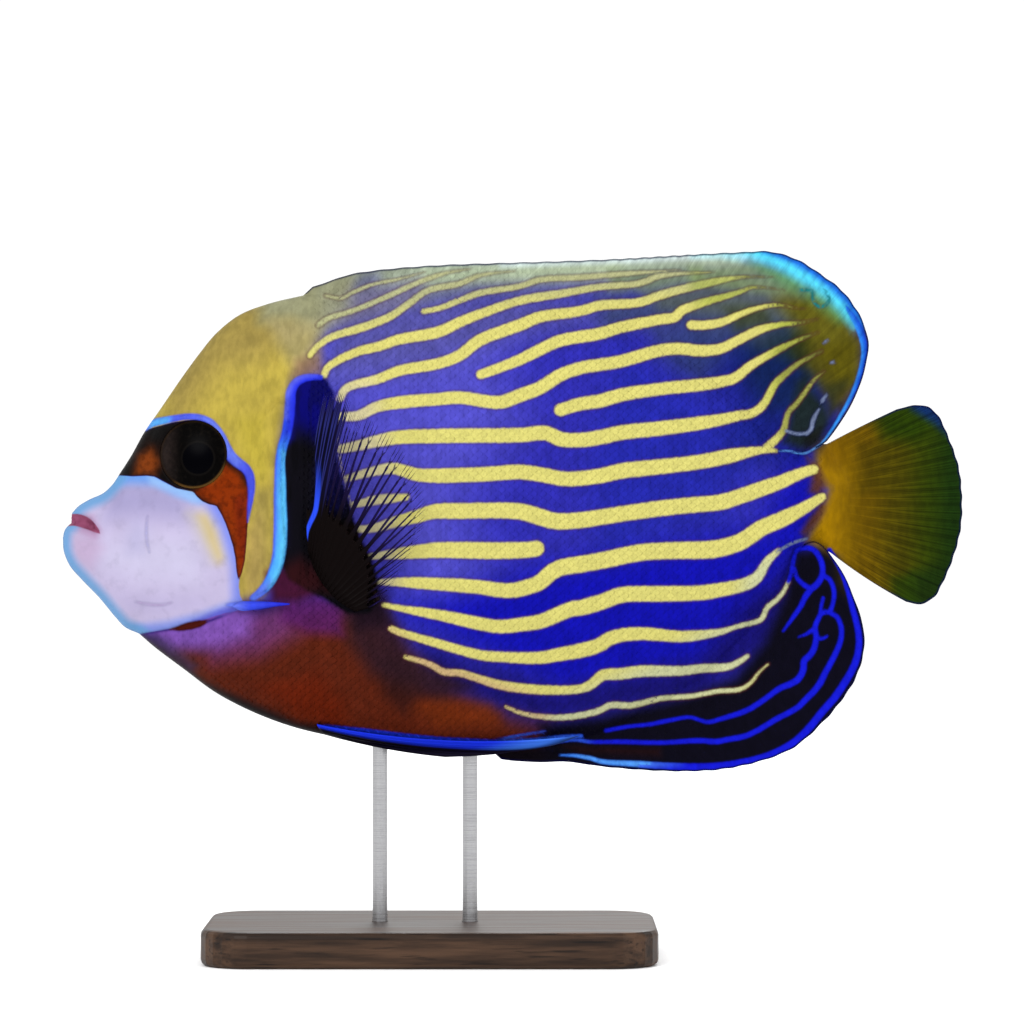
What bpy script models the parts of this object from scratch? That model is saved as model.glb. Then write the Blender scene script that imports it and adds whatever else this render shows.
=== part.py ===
"""Emperor angelfish, adult, life size, held level on a plain display stand.

The fish faces -X, its left side faces -Y and +Z is up. The origin is on the floor under the middle of
its length. Every size is in millimetres. Each piece is first laid out flat in the side view, as triangles
that fill its outline, and then gets a near and a far surface, whose distance from the middle plane is a
function of the place. Neighbours share no ground in the side view, so they meet face to face across one
thin gap.
"""

import math

import bmesh
import bpy
import numpy as np
from mathutils.geometry import delaunay_2d_cdt

MM = 0.001
GAP = 0.3  # between pieces that touch

# Body, with outlines in the side view as (x, z)
SNOUT = (-149.7, 139.7)
LOWER_FRONT = [(-146.9, 144.6), (-147.9, 143.8), (-149.1, 142.3), SNOUT]
UPPER_FRONT = [(-146.8, 145.8), (-146.75, 147.0), (-146.6, 148.0)]
FOREHEAD = [
    (-146.6, 148.0), (-144.6, 150.2), (-140.9, 152.5), (-136.3, 154.6), (-133.1, 157.6),
    (-130.5, 161.5), (-126.9, 167.1), (-122.5, 175.0), (-117.3, 182.5), (-110.7, 192.2),
    (-104.0, 201.4), (-98.5, 208.0), (-90.7, 214.1), (-80.7, 217.9), (-70.7, 220.3),
]
BACK = [
    (-70.7, 220.3), (-54.0, 222.2), (-30.7, 222.4), (-4.0, 220.7), (19.3, 216.5),
    (42.7, 208.5), (62.7, 197.0), (77.7, 184.0), (88.7, 168.7),
]
STALK_TOP = [(88.7, 168.2), (93.0, 167.3), (97.1, 167.5), (100.9, 168.9), (104.7, 171.0)]
CHIN = [
    SNOUT, (-149.4, 135.3), (-147.3, 130.3), (-143.3, 125.7), (-137.5, 119.7),
    (-132.1, 113.2), (-128.9, 109.9), (-124.3, 107.8),
]
BELLY = [
    (-124.3, 107.8), (-119.0, 103.2), (-109.0, 95.7), (-99.0, 88.3), (-87.3, 82.1),
    (-74.0, 77.0), (-60.7, 73.7), (-44.0, 70.6), (-27.3, 68.7), (-6.5, 67.8),
]
ANAL_BASE = [
    (-6.5, 67.8), (16.0, 71.0), (36.0, 77.4), (56.0, 88.2), (72.7, 102.0), (86.0, 118.3),
    (94.5, 134.6),
]
STALK_BOTTOM = [
    (94.5, 135.1), (95.6, 136.3), (97.1, 137.8), (98.6, 138.6), (100.2, 138.9), (101.8, 138.6),
    (103.6, 137.45), (105.0, 136.05), (105.9, 135.0),
]
TAIL_BASE = [(104.9, 171.0), (107.2, 161.5), (107.8, 152.5), (107.4, 144.0), (105.9, 135.0)]
BODY_END_TOP = [(110.0, 163.5), (114.0, 153.5)]  # where the flesh tapers away inside the tail fin
BODY_END_BOTTOM = [(110.0, 142.5), (114.0, 152.5)]
GILL_LINE = [
    (-70.7, 220.3), (-69.8, 209.0), (-70.2, 197.0), (-71.2, 187.5), (-72.0, 179.0),
    (-73.4, 169.0), (-74.2, 159.0), (-73.3, 145.7), (-72.7, 137.3), (-74.0, 128.9),
    (-78.4, 121.5), (-84.5, 118.0), (-92.0, 115.3), (-100.0, 113.0), (-110.7, 110.1),
    (-124.3, 107.8),
]
HALF_WIDTH = [  # (x, half width at the widest height)
    (-149.7, 0.0), (-149.3, 2.0), (-148.4, 3.6), (-146.7, 5.3), (-144.0, 7.2), (-137.3, 10.1),
    (-129.0, 12.7), (-120.7, 14.8), (-104.0, 18.2), (-87.3, 20.8), (-70.7, 22.5), (-54.0, 23.3),
    (-37.3, 23.5), (-20.7, 23.0), (2.7, 21.4), (29.3, 18.6), (56.0, 14.4), (76.0, 10.6),
    (89.3, 7.9), (104.7, 5.2), (110.0, 3.6), (114.0, 0.0),
]
WIDEST_HEIGHT = 0.48  # share of the section's height
SECTION_FULLNESS = (2.1, 2.2)  # power of the section above and below its widest height
HEAD_CREST = 0.54  # power by which the section closes at the top of the head
TRUNK_CREST = 0.66
KEEL = 0.56  # the same at the bottom
TRUNK_START = (-95.0, -40.0)
DORSAL_BASE_REACH = (-73.0, -66.0, 90.0, 96.0)  # x at which a fin's base rises in the body, and fades again
ANAL_BASE_REACH = (-10.0, -4.0, 96.0, 101.0)
TAIL_BASE_REACH = (92.0, 107.0)

# Head
EYE_CENTRE = (-105.0, 167.3)
EYE_RADIUS = 11.3
EYE_DOME = 3.2
EYE_PROUD = 0.4
EYE_DEPTH = 5.0
EYE_EDGE = 0.5
EYE_RINGS = ((10.2, 32), (8.0, 22), (5.2, 14), (2.4, 7))  # radius, and points round it, of eye and socket
EYE_SURROUND = ((12.9, 32), (15.2, 24))  # the same outside the socket
EYE_SIDES = 40
RIM_HEIGHT = 0.6
RIM_REACH = 3.6
STEP_WIDTH = 0.25  # of the steep walls round an eye or a gill cover
LIP_SEAM = [(-146.85, 145.2), (-144.9, 145.3), (-142.0, 144.7), (-139.2, 143.3), (-137.0, 141.5)]
LIP_GAP = 0.5
INNER_LIPS = [
    (-149.0, 147.2), (-145.8, 147.7), (-143.3, 147.5), (-140.5, 146.4), (-138.0, 144.2),
    (-136.3, 141.2), (-138.5, 141.7), (-140.9, 142.6), (-145.0, 143.7), (-149.5, 144.0),
]
INNER_LIP_DEPTH = 1.6
LIP_SWELL = 0.8
LIP_CREASE = 0.8
LIP_RISE = (-0.4, 1.0)  # distances from the inner lips' outline over which the lip swells,
LIP_FALL = (1.6, 5.0)  # and over which it runs out into the face
LIP_TO_CORNER = (-2.5, 2.5)  # distances from the mouth's corner over which the swelling runs out
DIP_REACH = (-0.3, 0.9)
DIP_TO_CORNER = (0.0, 3.5)
CREASE_REACH = (0.2, 1.2)
CREASE_TO_CORNER = (-1.0, 2.0)
LIP_ROOM = (0.5, 4.0)  # half widths over which the mouth's relief comes in at the snout's edge
LIP_ROWS = (-0.9, 0.0, 1.0, 2.4)  # distances from the inner lips' outline
NOSTRILS = ((-120.2, 169.6, 0.8), (-122.2, 166.0, 1.0))  # x, z and radius
NOSTRIL_SIDES = 8
NOSTRIL_DEPTH = 1.2
NOSTRIL_LIP = 0.3
NOSTRIL_FLOOR = 0.4  # shares of its radius: the floor's edge, the foot of its lip inside,
NOSTRIL_LIP_REACH = (0.6, 1.1, 2.2)  # and the lip's outer edge, from its top to its foot
COVER = [
    (-83.3, 177.3), (-79.0, 182.6), (-75.2, 185.2), (-73.6, 178.8), (-75.0, 169.0),
    (-75.9, 159.0), (-75.0, 145.7), (-74.4, 137.3), (-75.8, 129.7), (-79.8, 123.6),
    (-85.0, 120.7), (-88.4, 121.8), (-88.0, 128.0), (-86.3, 139.0), (-85.3, 150.7),
    (-84.8, 160.7), (-85.0, 169.0),
]
COVER_THICKNESS = 1.7
COVER_LIFT = 0.9
COVER_LIFT_REACH = (-88.0, -77.0)
COVER_STEP = 4.2  # between its points
COVER_RIM = 0.7
COVER_EASE = 0.35  # how far its outer edge is rounded down
SPINE_LINE = [(-91.8, 117.2), (-86.0, 117.5), (-80.0, 117.9), (-73.0, 118.1)]  # root to tip
SPINE_HALF_HEIGHT = 1.8
SPINE_THICKNESS = 2.4
SPINE_LIFT = 1.6
SPINE_TAPER = (0.85, 1.3)  # the share of its height it loses, and how late
SPINE_ROOT_REACH = (-0.25, 0.12)  # shares of its length over which it rises from its root
SPINE_THINNING = 0.7  # the share of its thickness it loses towards the tip
SPINE_ROUNDNESS = 0.8
SPINE_BEND = 1.5  # power by which it stands off the cheek
SPINE_CUTS = 9
SPINE_ACROSS = (1.0, 0.6, 0.0, -0.6, -1.0)  # rows of points, as shares of the half height

# Fins: the margin, then guide rays as (root, tip), then how far the first and last rays bow
DORSAL_MARGIN = [
    (-66.5, 223.4), (-60.7, 225.4), (-54.0, 227.6), (-42.3, 229.3), (-24.0, 230.7), (-4.0, 231.4),
    (16.0, 232.0), (36.0, 232.8), (56.0, 234.0), (76.0, 235.0), (86.3, 235.2), (95.3, 232.5),
    (103.7, 227.2), (109.6, 222.7), (114.1, 217.2), (117.2, 211.5), (118.9, 205.3), (118.4, 199.0),
    (116.9, 193.2), (114.5, 186.7), (111.0, 180.4), (108.0, 175.8), (105.0, 172.0),
]
DORSAL_GUIDES = [
    ((-69.6, 220.5), (-66.5, 223.4)), ((-37.0, 222.5), (-29.0, 230.4)), ((-10.7, 221.3), (3.0, 231.6)),
    ((16.0, 217.2), (34.0, 232.7)), ((42.7, 208.5), (63.0, 234.4)), ((62.7, 197.0), (96.0, 232.2)),
    ((77.7, 184.0), (115.8, 214.2)), ((84.0, 176.0), (116.2, 191.0)), ((88.7, 168.8), (105.0, 172.0)),
]
DORSAL_BOW = (0.0, -2.3)
DORSAL_SOFT_START = (16.0, 217.2)
ANAL_MARGIN = [
    (-3.6, 65.9), (2.0, 65.1), (9.0, 64.9), (19.3, 64.9), (29.3, 63.5), (44.3, 62.2), (59.3, 61.8),
    (71.0, 62.6), (84.3, 65.6), (94.3, 69.9), (104.3, 78.8), (110.1, 85.7), (114.6, 92.9),
    (117.3, 101.5), (117.2, 109.8), (114.3, 119.0), (110.3, 128.1), (106.2, 133.9),
]
ANAL_GUIDES = [
    ((-5.8, 67.9), (-3.6, 65.9)), ((16.0, 71.0), (30.0, 63.4)), ((36.0, 77.4), (57.0, 61.8)),
    ((56.0, 88.2), (82.0, 64.9)), ((72.7, 102.0), (106.4, 81.2)), ((86.0, 118.3), (117.4, 103.0)),
    ((94.5, 134.4), (106.2, 133.9)),
]
ANAL_BOW = (0.0, 4.4)
ANAL_SOFT_START = (12.0, 70.2)
TAIL_MARGIN = [
    (128.3, 182.6), (134.4, 184.0), (138.6, 183.5), (142.0, 180.7), (145.9, 172.5), (149.0, 163.3),
    (150.1, 153.0), (149.7, 143.0), (147.3, 133.5), (143.9, 125.2), (140.6, 119.7), (136.0, 117.5),
    (131.4, 118.4),
]
TAIL_GUIDES = [
    ((104.9, 171.0), (128.3, 182.6)), ((107.8, 152.5), (150.1, 152.0)), ((105.9, 135.0), (131.4, 118.4)),
]
TAIL_BOW = (0.2, -0.7)
PECTORAL_ROOT = [(-67.0, 135.7), (-64.9, 129.7), (-61.5, 124.0), (-57.0, 119.2), (-51.5, 115.6)]
PECTORAL_MARGIN = [
    (-62.5, 190.3), (-55.7, 191.5), (-49.0, 190.8), (-42.3, 188.3), (-35.7, 183.4), (-29.0, 175.3),
    (-24.2, 165.7), (-22.3, 156.5), (-23.2, 148.0), (-27.3, 139.7), (-32.3, 132.7), (-36.5, 126.6),
    (-39.5, 120.6),
]
PECTORAL_GUIDES = [
    ((-67.0, 135.7), (-62.5, 190.3)), ((-63.3, 126.8), (-44.0, 189.2)), ((-59.0, 121.2), (-23.0, 161.0)),
    ((-51.5, 115.6), (-39.5, 120.6)),
]
PECTORAL_BOW = (2.0, -0.6)
PECTORAL_SPLAY = 16.0
PECTORAL_FLARE = 1.3  # power by which it stands off the flank
PECTORAL_EDGE_RAYS = (0.2, 0.85)  # the slim rays lie before the first and behind the second share of the fin
PECTORAL_ROOT_HALF = 1.5
PECTORAL_EDGE_SLIMMING = 0.6
PELVIC_ROOT = [(-64.7, 78.0), (-63.8, 76.1), (-62.5, 74.4)]
PELVIC_MARGIN = [(22.7, 74.2), (15.0, 71.3), (0.0, 68.6), (-12.0, 67.4), (-22.0, 67.0)]
PELVIC_GUIDES = [(PELVIC_ROOT[0], PELVIC_MARGIN[0]), (PELVIC_ROOT[2], PELVIC_MARGIN[4])]
PELVIC_BOW = (-3.4, -1.0)
PELVIC_SPLAY = 2.5
PELVIC_ROOT_HALF = 1.0
FIN_ROWS = (0.0, 0.1, 0.26, 0.46, 0.66, 0.85, 1.0)  # shares of a ray's length
FIN_EDGE = 0.3  # half thickness of the membrane at a margin
RAY_RELIEF = 0.32  # how far a ray stands out, on each face
RAY_RISE = 0.15  # the share of its length over which a ray rises from its root
RAY_TAPER = 0.6  # the share of its relief a ray loses towards the margin
FIN_TAPER = 1.5  # power by which a fin thins outwards
NOTCH = 0.6  # how far the membrane's edge draws back between two rays
DORSAL_ROOT_HALF = [(-71.0, 0.6), (-62.0, 1.4), (-48.0, 2.1), (40.0, 2.1), (89.0, 1.4)]
ANAL_ROOT_HALF = [(-7.0, 1.0), (8.0, 1.6), (40.0, 2.0), (95.0, 1.4)]
TAIL_ROOT_HALF = 2.2
PECTORAL_TAPER = 2.2  # power by which a pectoral fin thins outwards
ROOT_FADE = 9.0  # depth at which a fin's base has mostly sunk into the body
BLEND = 2.6  # power by which the fin's base and the body run together

# Counts of the species
DORSAL_SPINES = 14
DORSAL_RAYS = 19
ANAL_SPINES = 3
ANAL_RAYS = 19
TAIL_RAYS = 17
PECTORAL_RAYS = 19
PELVIC_RAYS = 6

# Stand
BASE_X = -27.0
BASE_LENGTH = 150.0
BASE_WIDTH = 84.0
BASE_HEIGHT = 12.0
BASE_CORNER = 16.0
BASE_BEVEL = 2.0
CORNER_SEGMENTS = 6
ROD_RADIUS = 2.5
ROD_SIDES = 16
ROD_IN_BELLY = 9.0
ROD_IN_BASE = 8.0
ROD_X = {"stand_rod_front": -44.0, "stand_rod_rear": -14.0}

# Mesh spacing
HEAD_STEP = 5.0
FACE_STEP = 2.2
FACE_REACH = 8.0  # how far from the mouth the finer spacing reaches
TORSO_STEP = 7.6
STALK_STEP = 4.0
OUTLINE_STEP = 2.6
RIM_DEPTHS = ((0.25, 1.0), (1.0, 1.3), (2.4, 1.6), (4.6, 2.0))  # depth, and spacing in outline steps
LIP_STEP = 1.2
FINE = 0.5
POINTS_APART = 0.6  # the least distance between two points of the mesh, in steps or millimetres
LOOP_CLEARANCE = 0.35  # of a step, between the inner points and the outline
CLEAR_REACH = 0.6  # how far round a place a piece that lies on the body looks for its surface

# Finish of each kind of piece: linear colour, roughness and metallic value
FINISHES = {
    "head": ((0.50, 0.39, 0.08), 0.4, 0.0),
    "torso": ((0.04, 0.02, 0.38), 0.4, 0.0),
    "tail_stalk": ((0.62, 0.36, 0.03), 0.4, 0.0),
    "gill_cover": ((0.46, 0.36, 0.07), 0.4, 0.0),
    "cheek_spine": ((0.03, 0.10, 0.85), 0.35, 0.0),
    "eye": ((0.012, 0.008, 0.006), 0.08, 0.0),
    "dorsal_fin": ((0.12, 0.13, 0.20), 0.45, 0.0),
    "anal_fin": ((0.01, 0.01, 0.14), 0.45, 0.0),
    "tail_fin": ((0.22, 0.17, 0.01), 0.45, 0.0),
    "pectoral_fin": ((0.03, 0.02, 0.10), 0.45, 0.0),
    "pelvic_fin": ((0.01, 0.02, 0.25), 0.45, 0.0),
    "stand_base": ((0.018, 0.018, 0.020), 0.35, 0.0),
    "stand_rod": ((0.62, 0.62, 0.64), 0.25, 1.0),
}


# Lines and distances in the side view

def curve(points, step, closed=False):
    """A smooth line through the points, with a point about every step."""
    pts = np.array(points, float)
    ends = (pts[-1], pts[:2]) if closed else (2 * pts[0] - pts[1], 2 * pts[-1] - pts[-2])
    padded = np.vstack([ends[0], pts, ends[1]])
    pieces = []
    for a, b, c, d in zip(padded, padded[1:], padded[2:], padded[3:]):
        knots = np.cumsum([0.0] + [max(math.dist(p, q), 1e-6) ** 0.5 for p, q in ((a, b), (b, c), (c, d))])
        t = np.linspace(knots[1], knots[2], 24, endpoint=False)[:, None]

        def between(p, q, i, j):
            return ((knots[j] - t) * p + (t - knots[i]) * q) / (knots[j] - knots[i])

        ab, bc, cd = between(a, b, 0, 1), between(b, c, 1, 2), between(c, d, 2, 3)
        pieces.append(between(between(ab, bc, 0, 2), between(bc, cd, 1, 3), 1, 2))
    line = np.vstack(pieces + [pts[:1] if closed else pts[-1:]])
    count = max(2, round(lengths(line)[-1] / step) + 1)
    even = along(line, np.linspace(0.0, 1.0, count))
    return even[:-1] if closed else even


def lengths(line):
    """Distance along a line to each of its points."""
    return np.r_[0.0, np.cumsum(np.linalg.norm(np.diff(line, axis=0), axis=1))]


def along(line, shares):
    """Points at shares of a line's length."""
    reach = lengths(line)
    at = np.asarray(shares) * reach[-1]
    return np.c_[np.interp(at, reach, line[:, 0]), np.interp(at, reach, line[:, 1])]


def share_of(line, point):
    """The share of a line's length at which it passes nearest to a point."""
    nearest = np.argmin(np.linalg.norm(line - point, axis=1))
    return lengths(line)[nearest] / lengths(line)[-1]


def shifted(line, distance):
    """The line moved sideways, to the left of its direction where distance is positive."""
    run = np.gradient(line, axis=0)
    run /= np.linalg.norm(run, axis=1)[:, None]
    return line + distance * np.c_[-run[:, 1], run[:, 0]]


def grown(loop, distance):
    """The closed loop moved outwards, or inwards where distance is negative."""
    after, before = np.roll(loop, -1, axis=0), np.roll(loop, 1, axis=0)
    run = after - before
    run /= np.linalg.norm(run, axis=1)[:, None]
    turn = np.sign(np.sum(loop[:, 0] * after[:, 1] - after[:, 0] * loop[:, 1]))
    return loop + distance * turn * np.c_[run[:, 1], -run[:, 0]]


def distance_to(points, line):
    best = np.full(len(points), np.inf)
    for a, b in zip(line[:-1], line[1:]):
        run = b - a
        share = np.clip(((points - a) @ run) / max(run @ run, 1e-12), 0.0, 1.0)
        best = np.minimum(best, np.linalg.norm(points - a - share[:, None] * run, axis=1))
    return best


def signed_distance(points, loop):
    """Distance from a closed loop, negative inside it."""
    x, z = points[:, 0], points[:, 1]
    inside = np.zeros(len(points), bool)
    for (x0, z0), (x1, z1) in zip(loop, np.roll(loop, -1, axis=0)):
        if z0 != z1:
            inside ^= ((z0 > z) != (z1 > z)) & (x < (x1 - x0) * (z - z0) / (z1 - z0) + x0)
    apart = distance_to(points, np.vstack([loop, loop[:1]]))
    return np.where(inside, -apart, apart)


def circle(centre, radius, count):
    angle = np.arange(count) * 2 * math.pi / count
    return np.c_[centre[0] + radius * np.cos(angle), centre[1] + radius * np.sin(angle)]


def smoothstep(low, high, value):
    t = np.clip((value - low) / (high - low), 0.0, 1.0)
    return t * t * (3.0 - 2.0 * t)


def size_at(table, x):
    """A size along the fish, smooth between the rows of its table."""
    line = curve(table, FINE)
    return np.interp(x, line[:, 0], line[:, 1])


def joined(*lines):
    """One line, in order of x, through several outlines."""
    line = np.vstack([curve(points, FINE) for points in lines])
    return line[np.argsort(line[:, 0], kind="stable")]


TOP_LINE = joined(LOWER_FRONT[::-1], UPPER_FRONT, FOREHEAD, BACK, STALK_TOP, BODY_END_TOP)
BOTTOM_LINE = joined(CHIN, BELLY, ANAL_BASE, STALK_BOTTOM, BODY_END_BOTTOM)
COVER_LOOP = curve(COVER, 3.2, closed=True)
INNER_LIP_LOOP = curve(INNER_LIPS, LIP_STEP, closed=True)
SEAM_LINE = curve(LIP_SEAM, LIP_STEP)


# The body's surface, as a half width at each place of the side view

def body_half_width(points):
    """Half width of the bare body, 0 outside it."""
    x, z = points[:, 0], points[:, 1]
    top = np.interp(x, TOP_LINE[:, 0], TOP_LINE[:, 1])
    bottom = np.interp(x, BOTTOM_LINE[:, 0], BOTTOM_LINE[:, 1])
    middle = bottom + WIDEST_HEIGHT * (top - bottom)
    up = np.clip((z - middle) / np.maximum(top - middle, 0.01), 0.0, 1.0)
    down = np.clip((middle - z) / np.maximum(middle - bottom, 0.01), 0.0, 1.0)
    crest = HEAD_CREST + (TRUNK_CREST - HEAD_CREST) * smoothstep(*TRUNK_START, x)
    above, below = 1.0 - up ** SECTION_FULLNESS[0], 1.0 - down ** SECTION_FULLNESS[1]
    profile = np.where(z > middle, above**crest, below**KEEL)
    return size_at(HALF_WIDTH, x) * profile


def fin_base_half_width(points):
    """Half width that the median fins' bases add inside the body."""
    x, z = points[:, 0], points[:, 1]
    depth = np.clip(np.interp(x, TOP_LINE[:, 0], TOP_LINE[:, 1]) - z, 0.0, None)
    height = np.clip(z - np.interp(x, BOTTOM_LINE[:, 0], BOTTOM_LINE[:, 1]), 0.0, None)
    dorsal = size_at(DORSAL_ROOT_HALF, x) * np.exp(-depth / ROOT_FADE)
    dorsal *= smoothstep(*DORSAL_BASE_REACH[:2], x) * (1.0 - smoothstep(*DORSAL_BASE_REACH[2:], x))
    anal = size_at(ANAL_ROOT_HALF, x) * np.exp(-height / ROOT_FADE)
    anal *= smoothstep(*ANAL_BASE_REACH[:2], x) * (1.0 - smoothstep(*ANAL_BASE_REACH[2:], x))
    return dorsal + anal + TAIL_ROOT_HALF * smoothstep(*TAIL_BASE_REACH, x)


def blended(first, second):
    return (first**BLEND + second**BLEND) ** (1.0 / BLEND)


def bare_half_width(points):
    """The body with the fins' bases, without the features of the head."""
    return blended(body_half_width(points), fin_base_half_width(points))


def eye_plane(points):
    """Half width of the flat disc on which the eye's rim lies."""
    x, z = EYE_CENTRE
    probes = np.array([(x + EYE_RADIUS, z), (x - EYE_RADIUS, z), (x, z + EYE_RADIUS), (x, z - EYE_RADIUS)])
    rear, front, high, low = bare_half_width(probes)
    along_x = (points[:, 0] - x) * (rear - front)
    along_z = (points[:, 1] - z) * (high - low)
    return (rear + front + high + low) / 4 + (along_x + along_z) / (2 * EYE_RADIUS)


def eye_bulge(points):
    """1 at the middle of the eye, 0 at its edge."""
    radius = np.linalg.norm(points - EYE_CENTRE, axis=1) / EYE_RADIUS
    return 1.0 - np.clip(radius, 0.0, 1.0) ** 2


def with_mouth(width, points):
    """The lips swell round the inner lips, which lie deeper and part at the seam."""
    inner = signed_distance(points, INNER_LIP_LOOP)
    from_corner = LIP_SEAM[-1][0] - points[:, 0]
    swell = LIP_SWELL * smoothstep(*LIP_RISE, inner) * (1.0 - smoothstep(*LIP_FALL, inner))
    swell *= smoothstep(*LIP_TO_CORNER, from_corner)
    dip = INNER_LIP_DEPTH * smoothstep(*DIP_REACH, -inner) * smoothstep(*DIP_TO_CORNER, from_corner)
    crease = LIP_CREASE * (1.0 - smoothstep(*CREASE_REACH, distance_to(points, SEAM_LINE)))
    crease *= smoothstep(*CREASE_TO_CORNER, from_corner)
    room = smoothstep(*LIP_ROOM, width)
    return width + room * (swell - dip - crease)


def with_nostrils(width, points):
    for x, z, radius in NOSTRILS:
        apart = np.hypot(points[:, 0] - x, points[:, 1] - z)
        inside, top, foot = (share * radius for share in NOSTRIL_LIP_REACH)
        lip = smoothstep(inside, radius, apart) * (1.0 - smoothstep(top, foot, apart))
        pit = 1.0 - smoothstep(NOSTRIL_FLOOR * radius, radius, apart)
        width = width + NOSTRIL_LIP * lip - NOSTRIL_DEPTH * pit
    return width


def with_cover_beds(width, points):
    outside = signed_distance(points, COVER_LOOP)
    return width - (COVER_THICKNESS + GAP) * (1.0 - smoothstep(GAP, GAP + STEP_WIDTH, outside))


def with_eye_sockets(width, points):
    beyond = np.linalg.norm(points - EYE_CENTRE, axis=1) - EYE_RADIUS - GAP
    rim = RIM_HEIGHT * smoothstep(0.0, STEP_WIDTH, beyond) * (1.0 - smoothstep(1.0, RIM_REACH, beyond))
    socket = eye_plane(points) - EYE_EDGE - (EYE_DEPTH - EYE_EDGE) * eye_bulge(points) - 1.2 * GAP
    return np.where(beyond < STEP_WIDTH / 2, socket, width + rim)


def flesh_half_width(points):
    """Half width of head, torso and tail stalk."""
    width = with_mouth(bare_half_width(points), points)
    width = with_nostrils(width, points)
    width = with_cover_beds(width, points)
    return with_eye_sockets(width, points)


def clear_half_width(points):
    """A half width that stays clear of the body's surface, also where it is steep."""
    steps = np.vstack([[0.0, 0.0], circle((0.0, 0.0), CLEAR_REACH, 8)])
    return GAP + np.max([bare_half_width(points + step) for step in steps], axis=0)


# Solids

def clear_scene():
    for item in list(bpy.data.objects):
        bpy.data.objects.remove(item, do_unlink=True)


def material(kind):
    """The material of one kind of piece, made once."""
    if kind in bpy.data.materials:
        return bpy.data.materials[kind]
    made = bpy.data.materials.new(kind)
    made.use_nodes = True
    colour, roughness, metallic = FINISHES[kind]
    shader = made.node_tree.nodes["Principled BSDF"]
    shader.inputs["Base Color"].default_value = (*colour, 1.0)
    shader.inputs["Roughness"].default_value = roughness
    shader.inputs["Metallic"].default_value = metallic
    return made


def add_object(name, kind, mesh):
    mesh.materials.append(material(kind))
    mesh.shade_smooth()
    mesh.set_sharp_from_angle(angle=math.radians(40.0))
    made = bpy.data.objects.new(name, mesh)
    bpy.context.scene.collection.objects.link(made)
    return made


def sheet_solid(name, kind, plan, faces, near, far, side=1):
    """A closed solid over a flat plan, between the surfaces y = near and y = far.

    Where the two surfaces meet they share their points. A side of -1 mirrors the solid to the fish's left.
    """
    count = len(plan)
    shared = far - near < 0.02
    middle = (near + far) / 2
    points = np.vstack([np.c_[plan[:, 0], np.where(shared, middle, near), plan[:, 1]],
                        np.c_[plan[:, 0], far, plan[:, 1]]])
    points[:, 1] *= side
    other = np.where(shared, np.arange(count), np.arange(count) + count)
    faces = [face for face in faces if not all(shared[i] for i in face)]
    solid = [tuple(face) for face in faces] + [tuple(other[i] for i in reversed(face)) for face in faces]
    edges = {(a, b) for face in faces for a, b in zip(face, face[1:] + face[:1])}
    for a, b in sorted(edges):
        if (b, a) not in edges:
            corners = list(dict.fromkeys((b, a, other[a], other[b])))
            solid += [tuple(corners[:3])] if len(corners) > 2 else []
            solid += [(corners[0], corners[2], corners[3])] if len(corners) > 3 else []
    if side < 0:
        solid = [tuple(reversed(face)) for face in solid]
    used = np.unique(np.concatenate([np.array(face) for face in solid]))
    place = {old: new for new, old in enumerate(used)}
    mesh = bpy.data.meshes.new(name)
    mesh.from_pydata(points[used] * MM, [], [[place[i] for i in face] for face in solid])
    return add_object(name, kind, mesh)


def triangulated(loop, extra=(), rings=(), chains=()):
    """Triangles that fill a loop, through the extra points and along the closed rings and open chains.

    Seen from the fish's left, each runs anticlockwise. The last result tells which points are on the loop.
    """
    points = [tuple(p) for p in loop] + [tuple(p) for p in extra]
    edges = []
    for line in list(rings) + list(chains):
        first, count = len(points), len(line)
        points += [tuple(p) for p in line]
        edges += [(first + i, first + i + 1) for i in range(count - 1)]
    first = len(loop) + len(extra)
    for ring in rings:
        edges.append((first + len(ring) - 1, first))
        first += len(ring)
    result = delaunay_2d_cdt(points, edges, [list(range(len(loop)))], 1, 1e-5)
    plan = np.array([tuple(p) for p in result[0]])
    source = np.array([min(origin) if origin else len(points) for origin in result[3]])
    faces = []
    for a, b, c in result[2]:
        (ux, uz), (vx, vz) = plan[b] - plan[a], plan[c] - plan[a]
        area = ux * vz - uz * vx
        if abs(area) > 1e-7:
            faces.append((a, b, c) if area > 0 else (a, c, b))
    return plan, faces, source


def even_points(loop, step, kept):
    """Evenly spread points inside a loop, clear of it and of the points kept for other reasons."""
    low, high = loop.min(axis=0), loop.max(axis=0)
    x, z = np.meshgrid(np.arange(low[0], high[0], step), np.arange(low[1], high[1], step * math.sqrt(3) / 2))
    x[1::2] += step / 2
    points = np.c_[x.ravel(), z.ravel()]
    points = points[signed_distance(points, loop) < -LOOP_CLEARANCE * step]
    gaps = np.min(np.linalg.norm(points[:, None] - kept[None], axis=2), axis=1)
    return points[gaps > POINTS_APART * step]


def rim_chains(lines, loop, marks):
    """Rows that follow the free outlines inwards, so that the body's edge is round, clear of the marks."""
    chains = []
    for points in lines:
        for depth, spread in RIM_DEPTHS:
            line = curve(points, OUTLINE_STEP * spread)
            for row in (shifted(line, depth), shifted(line, -depth)):
                clear = np.min([distance_to(row, curve(other, FINE)) for other in lines], axis=0)
                apart = np.min(np.linalg.norm(row[:, None] - marks[None], axis=2), axis=1)
                good = (clear > depth - 0.05) & (signed_distance(row, loop) < -0.2) & (apart > POINTS_APART)
                chains += runs(row, good)
    return chains


def runs(line, good):
    """The stretches of a line whose points are all good."""
    cuts = np.flatnonzero(np.diff(good.astype(int))) + 1
    stretches = zip(np.split(line, cuts), np.split(good, cuts))
    return [stretch for stretch, keep in stretches if keep[0] and len(stretch) > 1]


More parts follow.
